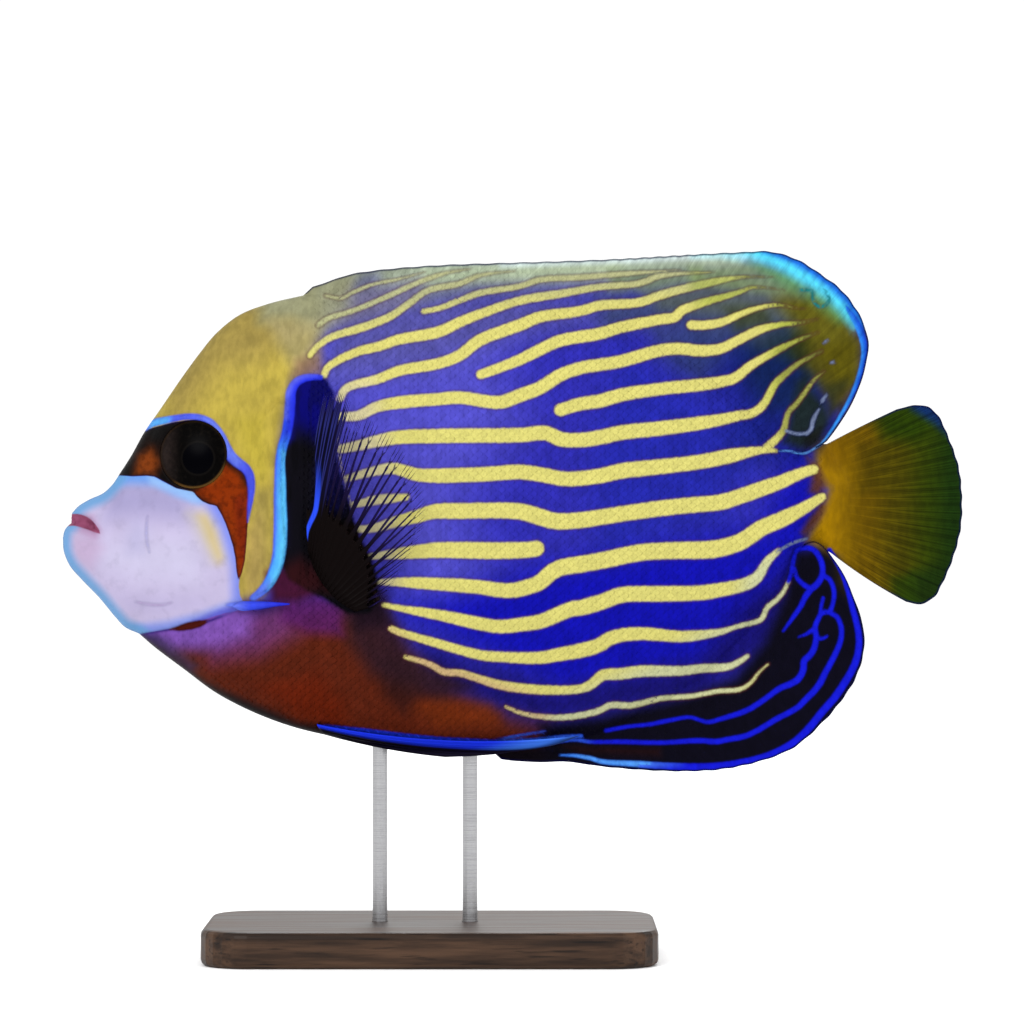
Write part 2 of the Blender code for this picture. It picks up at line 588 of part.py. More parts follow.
def body_piece(name, outline, step, details=(), rings=(), folds=()):
    """One length of the body. The outline's parts are (points, free): at a free edge both sides meet."""
    loop = np.vstack([points for points, _ in outline])
    free = np.concatenate([[is_free] * len(points) for points, is_free in outline])
    marks = np.vstack([*details, *rings, *folds, FAR_AWAY])
    chains = [*rim_chains(EDGES[name], loop, marks), *folds]
    kept = np.vstack([loop, marks] + chains)
    if folds:
        close = even_points(loop, FACE_STEP, kept)
        details = [*details, close[distance_to(close, SEAM_LINE) < FACE_REACH]]
        kept = np.vstack([kept, details[-1]])
    fill = even_points(loop, step, kept)
    plan, faces, source = triangulated(loop, np.vstack([fill] + list(details)), rings, chains)
    half = flesh_half_width(plan)
    on_loop = source < len(loop)
    half[on_loop] = np.where(free[source[on_loop]], 0.0, half[on_loop])
    half[~on_loop] = np.maximum(half[~on_loop], 0.2)
    return sheet_solid(name, name, plan, faces, -half, half)


FAR_AWAY = np.array([[9999.0, 9999.0]])
EDGES = {
    "head": [FOREHEAD, CHIN, UPPER_FRONT, LOWER_FRONT],
    "torso": [BELLY, BACK, ANAL_BASE, [BACK[-1], ANAL_BASE[-1]]],
    "tail_stalk": [STALK_TOP, STALK_BOTTOM],
}


def make_head():
    brow = curve(FOREHEAD, OUTLINE_STEP)
    gill = shifted(curve(GILL_LINE, OUTLINE_STEP), -GAP / 2)
    chin = curve(CHIN, OUTLINE_STEP)[::-1]
    seam = shifted(SEAM_LINE, LIP_GAP / 2)
    under = shifted(SEAM_LINE, -LIP_GAP / 2)
    outline = [
        (brow[:-1], True), (gill[1:], False), (chin[1:], True),
        (curve(LOWER_FRONT, LIP_STEP)[::-1][1:-1], True), (under[:-1], False), (SEAM_LINE[-1:], False),
        (seam[::-1][1:], False), (curve(UPPER_FRONT, LIP_STEP)[1:-1], True),
    ]
    loop = np.vstack([points for points, _ in outline])
    folds = []
    for reach in LIP_ROWS:
        row = grown(INNER_LIP_LOOP, reach)
        true_row = np.abs(signed_distance(row, INNER_LIP_LOOP) - reach) < 0.1
        folds += runs(row, true_row & (signed_distance(row, loop) < -0.35))
    eye = [circle(EYE_CENTRE, radius, count) for radius, count in EYE_RINGS + EYE_SURROUND]
    details = [*eye, *(circle(p[:2], NOSTRIL_LIP_REACH[2] * p[2], NOSTRIL_SIDES) for p in NOSTRILS)]
    rings = [circle(EYE_CENTRE, EYE_RADIUS + GAP + wall, EYE_SIDES) for wall in (0.0, STEP_WIDTH)]
    rings += [grown(COVER_LOOP, GAP + wall) for wall in (0.0, STEP_WIDTH)]
    rings += [circle(p[:2], share * p[2], NOSTRIL_SIDES) for p in NOSTRILS for share in (NOSTRIL_FLOOR, 1.0)]
    body_piece("head", outline, HEAD_STEP, details, rings, folds)


def make_torso():
    back = shifted(curve(BACK, 1.4 * OUTLINE_STEP), -GAP / 2)
    cut = shifted(along(np.array([BACK[-1], ANAL_BASE[-1]]), np.linspace(0.0, 1.0, 8)), -GAP / 2)
    base = shifted(curve(ANAL_BASE, 1.4 * OUTLINE_STEP), GAP / 2)[::-1]
    belly = curve(BELLY, OUTLINE_STEP)[::-1]
    gill = shifted(curve(GILL_LINE, OUTLINE_STEP), GAP / 2)[::-1]
    outline = [
        (back[1:-1], False), (cut[1:-1], False), (base[1:-1], False), (belly[:-1], True), (gill[1:-1], False),
    ]
    torso = body_piece("torso", outline, TORSO_STEP)
    for name, x in ROD_X.items():
        bore(torso, f"{name}_belly_hole", x, belly_height(x) - ROD_IN_BELLY, belly_height(x) + ROD_IN_BELLY)


def make_tail_stalk():
    top = curve(STALK_TOP, 2.0)
    rear = shifted(curve(TAIL_BASE, 3.0), -GAP / 2)
    bottom = curve(STALK_BOTTOM, 2.0)[::-1]
    front = shifted(along(np.array([BACK[-1], ANAL_BASE[-1]]), np.linspace(0.0, 1.0, 8)), GAP / 2)[::-1]
    outline = [(top[1:-1], False), (rear, False), (bottom[1:-1], False), (front[:-1], False)]
    body_piece("tail_stalk", outline, STALK_STEP)


def both_sides(name, kind, plan, faces, inner, outer):
    for side, label in ((-1, "left"), (1, "right")):
        sheet_solid(f"{name}_{label}", kind, plan, faces, inner, outer, side)


def make_eyes():
    rim = circle(EYE_CENTRE, EYE_RADIUS, EYE_SIDES)
    rings = [circle(EYE_CENTRE, radius, count) for radius, count in EYE_RINGS]
    plan, faces, _ = triangulated(rim, np.vstack(rings))
    plane, bulge = eye_plane(plan), eye_bulge(plan)
    inner = plane - EYE_EDGE - (EYE_DEPTH - EYE_EDGE) * bulge
    both_sides("eye", "eye", plan, faces, inner, plane + EYE_PROUD + EYE_DOME * bulge)


def make_gill_covers():
    inside = even_points(COVER_LOOP, COVER_STEP, COVER_LOOP)
    rim = grown(COVER_LOOP, -COVER_RIM)
    plan, faces, _ = triangulated(COVER_LOOP, np.vstack([rim, inside]))
    bare = bare_half_width(plan)
    edge = signed_distance(plan, COVER_LOOP) > -COVER_RIM / 2
    lift = COVER_LIFT * smoothstep(*COVER_LIFT_REACH, plan[:, 0]) - np.where(edge, COVER_EASE, 0.0)
    both_sides("gill_cover", "gill_cover", plan, faces, bare - COVER_THICKNESS, bare + lift)


def make_cheek_spines():
    """A tapered spine with a round back, as rows that run from its root to its tip."""
    keel = along(curve(SPINE_LINE, FINE), np.linspace(0.0, 1.0, SPINE_CUTS))
    out = np.linspace(0.0, 1.0, SPINE_CUTS)
    half_height = SPINE_HALF_HEIGHT * (1.0 - SPINE_TAPER[0] * out ** SPINE_TAPER[1])
    half_height *= smoothstep(*SPINE_ROOT_REACH, out)
    sideways = shifted(keel, 1.0) - keel
    plan = np.vstack([keel + sideways * (share * half_height)[:, None] for share in SPINE_ACROSS])
    rows = len(SPINE_ACROSS)
    faces = grid_faces(plan, rows, SPINE_CUTS)
    inner = clear_half_width(plan).reshape(rows, -1).max(axis=0)
    inner = np.tile(inner + SPINE_LIFT * out**SPINE_BEND, rows)
    crown = np.repeat(np.sqrt(1.0 - SPINE_ROUNDNESS * np.square(SPINE_ACROSS)), SPINE_CUTS)
    outer = inner + SPINE_THICKNESS * np.tile(1.0 - SPINE_THINNING * out, rows) * crown
    both_sides("cheek_spine", "cheek_spine", plan, faces, inner, outer)


def grid_faces(plan, rows, columns):
    """Two triangles to a cell of a grid, cut so that they are alike on both flanks of every other column."""
    faces = []
    for row in range(rows - 1):
        for column in range(columns - 1):
            a = row * columns + column
            b, c, d = a + 1, a + 1 + columns, a + columns
            faces += [(a, b, c), (a, c, d)] if column % 2 else [(a, b, d), (b, c, d)]
    first, second, third = plan[list(faces[len(faces) // 2])]
    (ux, uz), (vx, vz) = second - first, third - first
    return faces if ux * vz > uz * vx else [tuple(reversed(face)) for face in faces]


class Fan:
    """A fin's grid in the side view, with a column along each ray and one midway between neighbours."""

    def __init__(self, root, margin, guides, shares, bow):
        root_line, margin_line = root, curve(margin, FINE)
        at_root = [share_of(root_line, start) for start, _ in guides]
        at_margin = [share_of(margin_line, end) for _, end in guides]
        columns = np.interp(np.arange(2 * len(shares) - 1) / 2, np.arange(len(shares)), shares)
        start = along(root_line, columns)
        run = along(margin_line, np.interp(columns, at_root, at_margin)) - start
        length = np.linalg.norm(run, axis=1)
        on_ray = np.arange(len(columns)) % 2 == 0
        reach = np.where(on_ray, 1.0, 1.0 - np.minimum(NOTCH / length, 0.1))
        bend = 4.0 * (bow[0] + (bow[1] - bow[0]) * columns) / length
        left = np.c_[-run[:, 1], run[:, 0]]
        rows = []
        for row in FIN_ROWS:
            out = (row * reach)[:, None]
            rows.append(start + run * out + left * bend[:, None] * out * (1.0 - out))
        self.plan = np.vstack(rows)
        self.start = np.tile(start, (len(FIN_ROWS), 1))
        self.row = np.repeat(FIN_ROWS, len(columns))
        self.share = np.tile(columns, len(FIN_ROWS))
        self.on_ray = np.tile(on_ray, len(FIN_ROWS))
        self.faces = grid_faces(self.plan, len(FIN_ROWS), len(columns))

    def half_thickness(self, root_half, power=FIN_TAPER):
        """Thick at the root, thin at the margin, with the rays standing out between."""
        membrane = FIN_EDGE + (root_half - FIN_EDGE) * (1.0 - self.row) ** power
        relief = RAY_RELIEF * smoothstep(0.0, RAY_RISE, self.row) * (1.0 - RAY_TAPER * self.row)
        return membrane + np.where(self.on_ray, relief, 0.0)


def median_fin(name, fan, root_half):
    half = blended(fan.half_thickness(root_half), body_half_width(fan.plan))
    sheet_solid(name, name, fan.plan, fan.faces, -half, half)


def spine_and_ray_shares(root, soft_start, spines, rays):
    """Where spines and soft rays leave the base, as shares of its length."""
    split = share_of(root, soft_start)
    return np.r_[np.linspace(0.0, split, spines), np.linspace(split, 1.0, rays + 1)[1:]]


def make_dorsal_fin():
    root = shifted(curve([DORSAL_GUIDES[0][0]] + BACK[1:], FINE), GAP / 2)
    shares = spine_and_ray_shares(root, DORSAL_SOFT_START, DORSAL_SPINES, DORSAL_RAYS)
    fan = Fan(root, DORSAL_MARGIN, DORSAL_GUIDES, shares, DORSAL_BOW)
    median_fin("dorsal_fin", fan, size_at(DORSAL_ROOT_HALF, fan.start[:, 0]))


def make_anal_fin():
    root = shifted(curve([ANAL_GUIDES[0][0]] + ANAL_BASE[1:], FINE), -GAP / 2)
    shares = spine_and_ray_shares(root, ANAL_SOFT_START, ANAL_SPINES, ANAL_RAYS)
    fan = Fan(root, ANAL_MARGIN, ANAL_GUIDES, shares, ANAL_BOW)
    median_fin("anal_fin", fan, size_at(ANAL_ROOT_HALF, fan.start[:, 0]))


def make_tail_fin():
    root = shifted(curve(TAIL_BASE, FINE), GAP / 2)
    fan = Fan(root, TAIL_MARGIN, TAIL_GUIDES, np.linspace(0.0, 1.0, TAIL_RAYS), TAIL_BOW)
    median_fin("tail_fin", fan, TAIL_ROOT_HALF)


def make_pectoral_fins():
    """They leave the flank at a low root and splay out backwards."""
    fan = Fan(curve(PECTORAL_ROOT, FINE), PECTORAL_MARGIN, PECTORAL_GUIDES,
              np.linspace(0.0, 1.0, PECTORAL_RAYS), PECTORAL_BOW)
    half = fan.half_thickness(PECTORAL_ROOT_HALF, PECTORAL_TAPER)
    first, last = PECTORAL_EDGE_RAYS
    inner_rays = smoothstep(0.0, first, fan.share) * smoothstep(1.0, last, fan.share)
    half = FIN_EDGE + (half - FIN_EDGE) * (1.0 - PECTORAL_EDGE_SLIMMING * (1.0 - inner_rays))
    root_level = clear_half_width(fan.start) + PECTORAL_ROOT_HALF
    out = np.linalg.norm(fan.plan - fan.start, axis=1)
    middle = root_level + PECTORAL_SPLAY * (out / out.max()) ** PECTORAL_FLARE
    middle = np.maximum(middle, clear_half_width(fan.plan) + half)
    both_sides("pectoral_fin", "pectoral_fin", fan.plan, fan.faces, middle - half, middle + half)


def make_pelvic_fins():
    """They are folded back along the belly, on either side of the rods."""
    fan = Fan(curve(PELVIC_ROOT, FINE), PELVIC_MARGIN, PELVIC_GUIDES,
              np.linspace(0.0, 1.0, PELVIC_RAYS), PELVIC_BOW)
    half = fan.half_thickness(PELVIC_ROOT_HALF)
    hugging = np.maximum(clear_half_width(fan.plan), ROD_RADIUS + 3 * GAP)
    middle = hugging + half.max() + PELVIC_SPLAY * fan.row**2
    both_sides("pelvic_fin", "pelvic_fin", fan.plan, fan.faces, middle - half, middle + half)


# Stand

def belly_height(x):
    return float(np.interp(x, BOTTOM_LINE[:, 0], BOTTOM_LINE[:, 1]))


def rod_mesh(name, x, low, high, radius):
    mesh = bpy.data.meshes.new(name)
    shape = bmesh.new()
    bmesh.ops.create_cone(shape, cap_ends=True, segments=ROD_SIDES, radius1=radius * MM, radius2=radius * MM,
                          depth=(high - low) * MM)
    bmesh.ops.translate(shape, verts=shape.verts, vec=(x * MM, 0.0, (low + high) / 2 * MM))
    shape.to_mesh(mesh)
    shape.free()
    return mesh


def bore(target, name, x, low, high):
    """Cuts an upright round hole that clears a rod."""
    cutter = bpy.data.objects.new(name, rod_mesh(name, x, low, high, ROD_RADIUS + GAP))
    cutter.hide_render = True
    cutter.display_type = "WIRE"
    bpy.context.scene.collection.objects.link(cutter)
    cut = target.modifiers.new(name, "BOOLEAN")
    cut.operation = "DIFFERENCE"
    cut.object = cutter


def make_stand_base():
    """A slab with round corners and an eased edge."""
    corners = []
    reach_x, reach_y = BASE_LENGTH / 2 - BASE_CORNER, BASE_WIDTH / 2 - BASE_CORNER
    for turn, (sx, sy) in enumerate(((1, 1), (-1, 1), (-1, -1), (1, -1))):
        for step in range(CORNER_SEGMENTS + 1):
            angle = math.pi / 2 * (turn + step / CORNER_SEGMENTS)
            x = BASE_X + sx * reach_x + BASE_CORNER * math.cos(angle)
            y = sy * reach_y + BASE_CORNER * math.sin(angle)
            corners.append((x * MM, y * MM, 0.0))
    shape = bmesh.new()
    underside = shape.faces.new([shape.verts.new(corner) for corner in corners])
    raised = bmesh.ops.extrude_face_region(shape, geom=[underside])["geom"]
    top = [item for item in raised if isinstance(item, bmesh.types.BMVert)]
    bmesh.ops.translate(shape, verts=top, vec=(0.0, 0.0, BASE_HEIGHT * MM))
    bmesh.ops.recalc_face_normals(shape, faces=shape.faces)
    mesh = bpy.data.meshes.new("stand_base")
    shape.to_mesh(mesh)
    shape.free()
    base = add_object("stand_base", "stand_base", mesh)
    edge = base.modifiers.new("eased edge", "BEVEL")
    edge.width = BASE_BEVEL * MM
    edge.segments = 3
    edge.limit_method = "ANGLE"
    edge.angle_limit = math.radians(50.0)
    for name, x in ROD_X.items():
        bore(base, f"{name}_base_hole", x, BASE_HEIGHT - ROD_IN_BASE - GAP, BASE_HEIGHT + ROD_IN_BASE)


def make_stand_rods():
    for name, x in ROD_X.items():
        low, high = BASE_HEIGHT - ROD_IN_BASE, belly_height(x) + ROD_IN_BELLY - GAP
        add_object(name, "stand_rod", rod_mesh(name, x, low, high, ROD_RADIUS))


def main():
    clear_scene()
    make_head()
    make_torso()
    make_tail_stalk()
    make_gill_covers()
    make_cheek_spines()
    make_eyes()
    make_dorsal_fin()
    make_anal_fin()
    make_tail_fin()
    make_pectoral_fins()
    make_pelvic_fins()
    make_stand_base()
    make_stand_rods()


main()
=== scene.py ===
"""Emperor angelfish, adult, on a plain display stand: skin, scales, fins, eyes, finishes, light and camera.

The fish faces -X, its left side faces -Y and +Z is up. Shapes are worked out in millimetres, in the side
view, as (x, z) and a half width, and become metres when a mesh is made. Markings are placed in the
photograph's pixels, and both flanks carry them.
"""

import math

import bpy
import numpy as np
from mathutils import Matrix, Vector
from mathutils.bvhtree import BVHTree
from mathutils.geometry import delaunay_2d_cdt
from mathutils.kdtree import KDTree


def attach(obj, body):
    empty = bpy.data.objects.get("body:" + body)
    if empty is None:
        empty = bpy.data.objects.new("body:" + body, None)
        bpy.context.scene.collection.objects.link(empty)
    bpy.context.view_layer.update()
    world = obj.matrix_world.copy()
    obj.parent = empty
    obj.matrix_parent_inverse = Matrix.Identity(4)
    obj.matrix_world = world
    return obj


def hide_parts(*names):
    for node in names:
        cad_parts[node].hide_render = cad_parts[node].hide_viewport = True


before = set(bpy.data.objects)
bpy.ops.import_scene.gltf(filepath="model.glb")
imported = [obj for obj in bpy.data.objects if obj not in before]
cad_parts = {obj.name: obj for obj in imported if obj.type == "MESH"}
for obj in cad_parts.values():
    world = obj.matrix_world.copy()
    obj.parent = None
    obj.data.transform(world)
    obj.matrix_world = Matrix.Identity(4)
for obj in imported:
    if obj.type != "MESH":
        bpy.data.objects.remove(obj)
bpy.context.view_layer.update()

MM = 0.001
PHOTO_SIZE = 1024
PHOTO_MIDDLE = 512.0  # the pixel column over the origin
PHOTO_FLOOR = 957.0  # the pixel row of the floor
PIXELS_PER_MM = 3.0
GAP = 0.3  # between pieces that touch in the frame
CLEAR_REACH = 0.6  # how far round a point the body is looked at to stay clear of it

# Body, with outlines in the side view as (x, z)
SNOUT = (-149.7, 139.7)
LOWER_FRONT = [(-146.9, 144.6), (-147.9, 143.8), (-149.1, 142.3), SNOUT]
UPPER_FRONT = [(-146.8, 145.8), (-146.75, 147.0), (-146.6, 148.0)]
FOREHEAD = [
    (-146.6, 148.0), (-144.6, 150.2), (-140.9, 152.5), (-136.3, 154.6), (-133.1, 157.6), (-130.5, 161.5),
    (-126.9, 167.1), (-122.5, 175.0), (-117.3, 182.5), (-110.7, 192.2), (-104.0, 201.4), (-98.5, 208.0),
    (-90.7, 214.1), (-80.7, 217.9), (-70.7, 220.3),
]
BACK = [
    (-70.7, 220.3), (-54.0, 222.2), (-30.7, 222.4), (-4.0, 220.7), (19.3, 216.5), (42.7, 208.5),
    (62.7, 197.0), (77.7, 184.0), (88.7, 168.7),
]
STALK_TOP = [(88.7, 168.2), (93.0, 167.3), (97.1, 167.5), (100.9, 168.9), (104.7, 171.0)]
CHIN = [
    SNOUT, (-149.4, 135.3), (-147.3, 130.3), (-143.3, 125.7), (-137.5, 119.7), (-132.1, 113.2),
    (-128.9, 109.9), (-124.3, 107.8),
]
BELLY = [
    (-124.3, 107.8), (-119.0, 103.2), (-109.0, 95.7), (-99.0, 88.3), (-87.3, 82.1), (-74.0, 77.0),
    (-60.7, 73.7), (-44.0, 70.6), (-27.3, 68.7), (-6.5, 67.8),
]
ANAL_BASE = [
    (-6.5, 67.8), (16.0, 71.0), (36.0, 77.4), (56.0, 88.2), (72.7, 102.0), (86.0, 118.3), (94.5, 134.6),
]
STALK_BOTTOM = [
    (94.5, 135.1), (95.6, 136.3), (97.1, 137.8), (98.6, 138.6), (100.2, 138.9), (101.8, 138.6),
    (103.6, 137.45), (105.0, 136.05), (105.9, 135.0),
]
TAIL_BASE = [(104.9, 171.0), (107.2, 161.5), (107.8, 152.5), (107.4, 144.0), (105.9, 135.0)]
BODY_END_TOP = [(110.0, 163.5), (114.0, 153.5)]  # where the flesh tapers away inside the tail fin
BODY_END_BOTTOM = [(110.0, 142.5), (114.0, 152.5)]
GILL_LINE = [
    (-70.7, 220.3), (-69.8, 209.0), (-70.2, 197.0), (-71.2, 187.5), (-72.0, 179.0), (-73.4, 169.0),
    (-74.2, 159.0), (-73.3, 145.7), (-72.7, 137.3), (-74.0, 128.9), (-78.4, 121.5), (-84.5, 118.0),
    (-92.0, 115.3), (-100.0, 113.0), (-110.7, 110.1), (-124.3, 107.8),
]
HALF_WIDTH = [  # (x, half width at the widest height)
    (-149.7, 0.0), (-149.3, 2.0), (-148.4, 3.6), (-146.7, 5.3), (-144.0, 7.2), (-137.3, 10.1),
    (-129.0, 12.7), (-120.7, 14.8), (-104.0, 18.2), (-87.3, 20.8), (-70.7, 22.5), (-54.0, 23.3),
    (-37.3, 23.5), (-20.7, 23.0), (2.7, 21.4), (29.3, 18.6), (56.0, 14.4), (76.0, 10.6), (89.3, 7.9),
    (104.7, 5.2), (110.0, 3.6), (114.0, 0.0),
]
WIDEST_HEIGHT = 0.48  # share of the section's height
SECTION_FULLNESS = (2.1, 2.2)  # power of the section above and below its widest height
HEAD_CREST = 0.54  # power by which the section closes at the top of the head
TRUNK_CREST = 0.66
KEEL = 0.56  # the same at the bottom
TRUNK_START = (-95.0, -40.0)
DORSAL_BASE_REACH = (-73.0, -66.0, 90.0, 96.0)  # x at which a fin's base rises in the body, and fades again
ANAL_BASE_REACH = (-10.0, -4.0, 96.0, 101.0)
TAIL_BASE_REACH = (92.0, 107.0)

# Head
EYE_CENTRE = (-105.0, 167.3)
EYE_RADIUS = 11.3
EYE_DOME = 3.2
EYE_PROUD = 0.4
EYE_DEPTH = 5.0
EYE_EDGE = 0.5
EYE_SIDES, EYE_RINGS = 64, 25
EYE_SEAT = 0.15  # how far the skin round the eye lies out of the eye's plane
EYE_SEAT_REACH = (0.2, 5.1)  # distances from the eye's edge over which it leaves that plane
RIM_HEIGHT = 0.6
RIM_CREST, RIM_SPREAD = 0.55, 0.9  # distance of its crest from the eye's edge, and how wide it is
SOCKET_DEPTH = 1.2
SOCKET_WALL = (-0.5, 0.0)  # distances over which the socket rises to the rim
SOCKET_RISE = 1.6
LIP_SEAM = [(-146.85, 145.2), (-144.9, 145.3), (-142.0, 144.7), (-139.2, 143.3), (-137.0, 141.5)]
INNER_LIPS = [
    (-149.0, 147.2), (-145.8, 147.7), (-143.3, 147.5), (-140.5, 146.4), (-138.0, 144.2), (-136.3, 141.2),
    (-138.5, 141.7), (-140.9, 142.6), (-145.0, 143.7), (-149.5, 144.0),
]
INNER_LIP_DEPTH = 1.6
LIP_SWELL = 0.8
LIP_CREASE = 0.8
LIP_RISE = (-0.4, 1.0)  # distances from the inner lips' outline over which the lip swells,
LIP_FALL = (1.6, 5.0)  # and over which it runs out into the face
LIP_TO_CORNER = (-2.5, 2.5)  # distances from the mouth's corner over which the swelling runs out
DIP_REACH = (-0.3, 0.9)
DIP_TO_CORNER = (0.0, 3.5)
CREASE_REACH = (0.2, 1.2)
CREASE_TO_CORNER = (-1.0, 2.0)
LIP_ROOM = (0.5, 4.0)  # half widths over which the mouth's relief comes in at the snout's edge
NOSTRILS = ((-120.2, 169.6, 0.8), (-122.2, 166.0, 1.0))  # x, z and radius
NOSTRIL_DEPTH = 1.2
NOSTRIL_LIP = 0.3
NOSTRIL_FLOOR = 0.4  # shares of its radius: the floor's edge, the foot of its lip inside,
NOSTRIL_LIP_REACH = (0.6, 1.1, 2.2)  # and the lip's outer edge, from its top to its foot
COVER = [
    (-83.3, 177.3), (-79.0, 182.6), (-75.2, 185.2), (-73.6, 178.8), (-75.0, 169.0), (-75.9, 159.0),
    (-75.0, 145.7), (-74.4, 137.3), (-75.8, 129.7), (-79.8, 123.6), (-85.0, 120.7), (-88.4, 121.8),
    (-88.0, 128.0), (-86.3, 139.0), (-85.3, 150.7), (-84.8, 160.7), (-85.0, 169.0),
]
COVER_LIFT = 0.9
COVER_LIFT_REACH = (-88.0, -77.0)
COVER_WALL = (-0.5, 0.15)  # distances from the cover's edge over which it steps down
COVER_GROOVE = 0.5
GROOVE_WALLS = ((-0.2, 0.25), (0.3, 1.6))  # distances over which the groove behind it falls, and rises again
SPINE_LINE = [(-91.8, 117.2), (-86.0, 117.5), (-80.0, 117.9), (-73.0, 118.1)]  # root to tip
SPINE_HALF_HEIGHT = 1.8
SPINE_THICKNESS = 2.4
SPINE_LIFT = 1.6
SPINE_CUTS, SPINE_ROWS = 30, 13
SPINE_TAPER = (0.85, 1.3)  # share of its height that it loses to the tip, and the power by which it does
SPINE_BLUNTING = (-0.01, 0.2)  # shares of its length over which its root swells to full height
SPINE_SLIMMING = 0.7  # share of its thickness that it loses to the tip
SPINE_ARCH = 0.8
SPINE_SINK = (1.2, 0.3)  # how deep its root goes into the cheek, and how far along it

# Fins: the margin, then guide rays as (root, tip), then how far the first and last rays bow
DORSAL_MARGIN = [
    (-66.5, 223.4), (-60.7, 225.4), (-54.0, 227.6), (-42.3, 229.3), (-24.0, 230.7), (-4.0, 231.4),
    (16.0, 232.0), (36.0, 232.8), (56.0, 234.0), (76.0, 235.0), (86.3, 235.2), (95.3, 232.5),
    (103.7, 227.2), (109.6, 222.7), (114.1, 217.2), (117.2, 211.5), (118.9, 205.3), (118.4, 199.0),
    (116.9, 193.2), (114.5, 186.7), (111.0, 180.4), (108.0, 175.8), (105.0, 172.0),
]
DORSAL_GUIDES = [
    ((-69.6, 220.5), (-66.5, 223.4)), ((-37.0, 222.5), (-29.0, 230.4)), ((-10.7, 221.3), (3.0, 231.6)),
    ((16.0, 217.2), (34.0, 232.7)), ((42.7, 208.5), (63.0, 234.4)), ((62.7, 197.0), (96.0, 232.2)),
    ((77.7, 184.0), (115.8, 214.2)), ((84.0, 176.0), (116.2, 191.0)), ((88.7, 168.8), (105.0, 172.0)),
]
DORSAL_BOW = (0.0, -2.3)
DORSAL_SOFT_START = (16.0, 217.2)
ANAL_MARGIN = [
    (-3.6, 65.9), (2.0, 65.1), (9.0, 64.9), (19.3, 64.9), (29.3, 63.5), (44.3, 62.2), (59.3, 61.8),
    (71.0, 62.6), (84.3, 65.6), (94.3, 69.9), (104.3, 78.8), (110.1, 85.7), (114.6, 92.9), (117.3, 101.5),
    (117.2, 109.8), (114.3, 119.0), (110.3, 128.1), (106.2, 133.9),
]
ANAL_GUIDES = [
    ((-5.8, 67.9), (-3.6, 65.9)), ((16.0, 71.0), (30.0, 63.4)), ((36.0, 77.4), (57.0, 61.8)),
    ((56.0, 88.2), (82.0, 64.9)), ((72.7, 102.0), (106.4, 81.2)), ((86.0, 118.3), (117.4, 103.0)),
    ((94.5, 134.4), (106.2, 133.9)),
]
ANAL_BOW = (0.0, 4.4)
ANAL_SOFT_START = (12.0, 70.2)
TAIL_MARGIN = [
    (128.3, 182.6), (134.4, 184.0), (138.6, 183.5), (142.0, 180.7), (145.9, 172.5), (149.0, 163.3),
    (150.1, 153.0), (149.7, 143.0), (147.3, 133.5), (143.9, 125.2), (140.6, 119.7), (136.0, 117.5),
    (131.4, 118.4),
]
TAIL_GUIDES = [
    ((104.9, 171.0), (128.3, 182.6)), ((107.8, 152.5), (150.1, 152.0)), ((105.9, 135.0), (131.4, 118.4)),
]
TAIL_BOW = (0.2, -0.7)
PECTORAL_ROOT = [(-67.0, 135.7), (-64.9, 129.7), (-61.5, 124.0), (-57.0, 119.2), (-51.5, 115.6)]
PECTORAL_MARGIN = [
    (-62.5, 190.3), (-55.7, 191.5), (-49.0, 190.8), (-42.3, 188.3), (-35.7, 183.4), (-29.0, 175.3),
    (-24.2, 165.7), (-22.3, 156.5), (-23.2, 148.0), (-27.3, 139.7), (-32.3, 132.7), (-36.5, 126.6),
    (-39.5, 120.6),
]
PECTORAL_GUIDES = [
    ((-67.0, 135.7), (-62.5, 190.3)), ((-63.3, 126.8), (-44.0, 189.2)), ((-59.0, 121.2), (-23.0, 161.0)),
    ((-51.5, 115.6), (-39.5, 120.6)),
]
PECTORAL_BOW = (2.0, -0.6)
PECTORAL_SPLAY = 16.0
PECTORAL_ROOT_HALF = 1.5
PECTORAL_TAPER = 5  # power by which it thins outwards
PECTORAL_RELIEF = 0.28  # how far its rays stand out, on each face
PECTORAL_CLEARANCE = 0.2  # from the flank
PECTORAL_SINK = (1.2, 0.12)  # how deep its root goes into the flank, and along what share of its rays
PECTORAL_BETWEEN, PECTORAL_ROWS = 10, 46
PELVIC_ROOT = [(-64.7, 78.0), (-63.8, 76.1), (-62.5, 74.4)]
PELVIC_MARGIN = [(22.7, 74.2), (15.0, 71.3), (0.0, 68.6), (-12.0, 67.4), (-22.0, 67.0)]
PELVIC_GUIDES = [(PELVIC_ROOT[0], PELVIC_MARGIN[0]), (PELVIC_ROOT[2], PELVIC_MARGIN[4])]
PELVIC_BOW = (-3.4, -1.0)
PELVIC_SPLAY = 2.5
PELVIC_ROOT_HALF = 1.0
PELVIC_RELIEF = 0.32
PELVIC_TAPER = 1.5
PELVIC_RISE = (0.0, 0.15)  # shares of a ray's length over which it comes up
PELVIC_SINK = (2.4, 0.06)
PELVIC_BETWEEN, PELVIC_ROWS = 10, 60
PAIRED_EDGE_HALF = 0.08  # half thickness at the very edge of a pectoral or pelvic fin
PECTORAL_EDGE, PELVIC_EDGE = 0.9, 0.8  # over which the edge is rounded
DORSAL_ROOT_HALF = [(-71.0, 0.6), (-62.0, 1.4), (-48.0, 2.1), (40.0, 2.1), (89.0, 1.4)]
ANAL_ROOT_HALF = [(-7.0, 1.0), (8.0, 1.6), (40.0, 2.0), (95.0, 1.4)]
TAIL_ROOT_HALF = 2.2
ROOT_FADE = 9.0  # depth at which a fin's base has mostly sunk into the body
BLEND = 2.6  # power by which the fin's base and the body run together

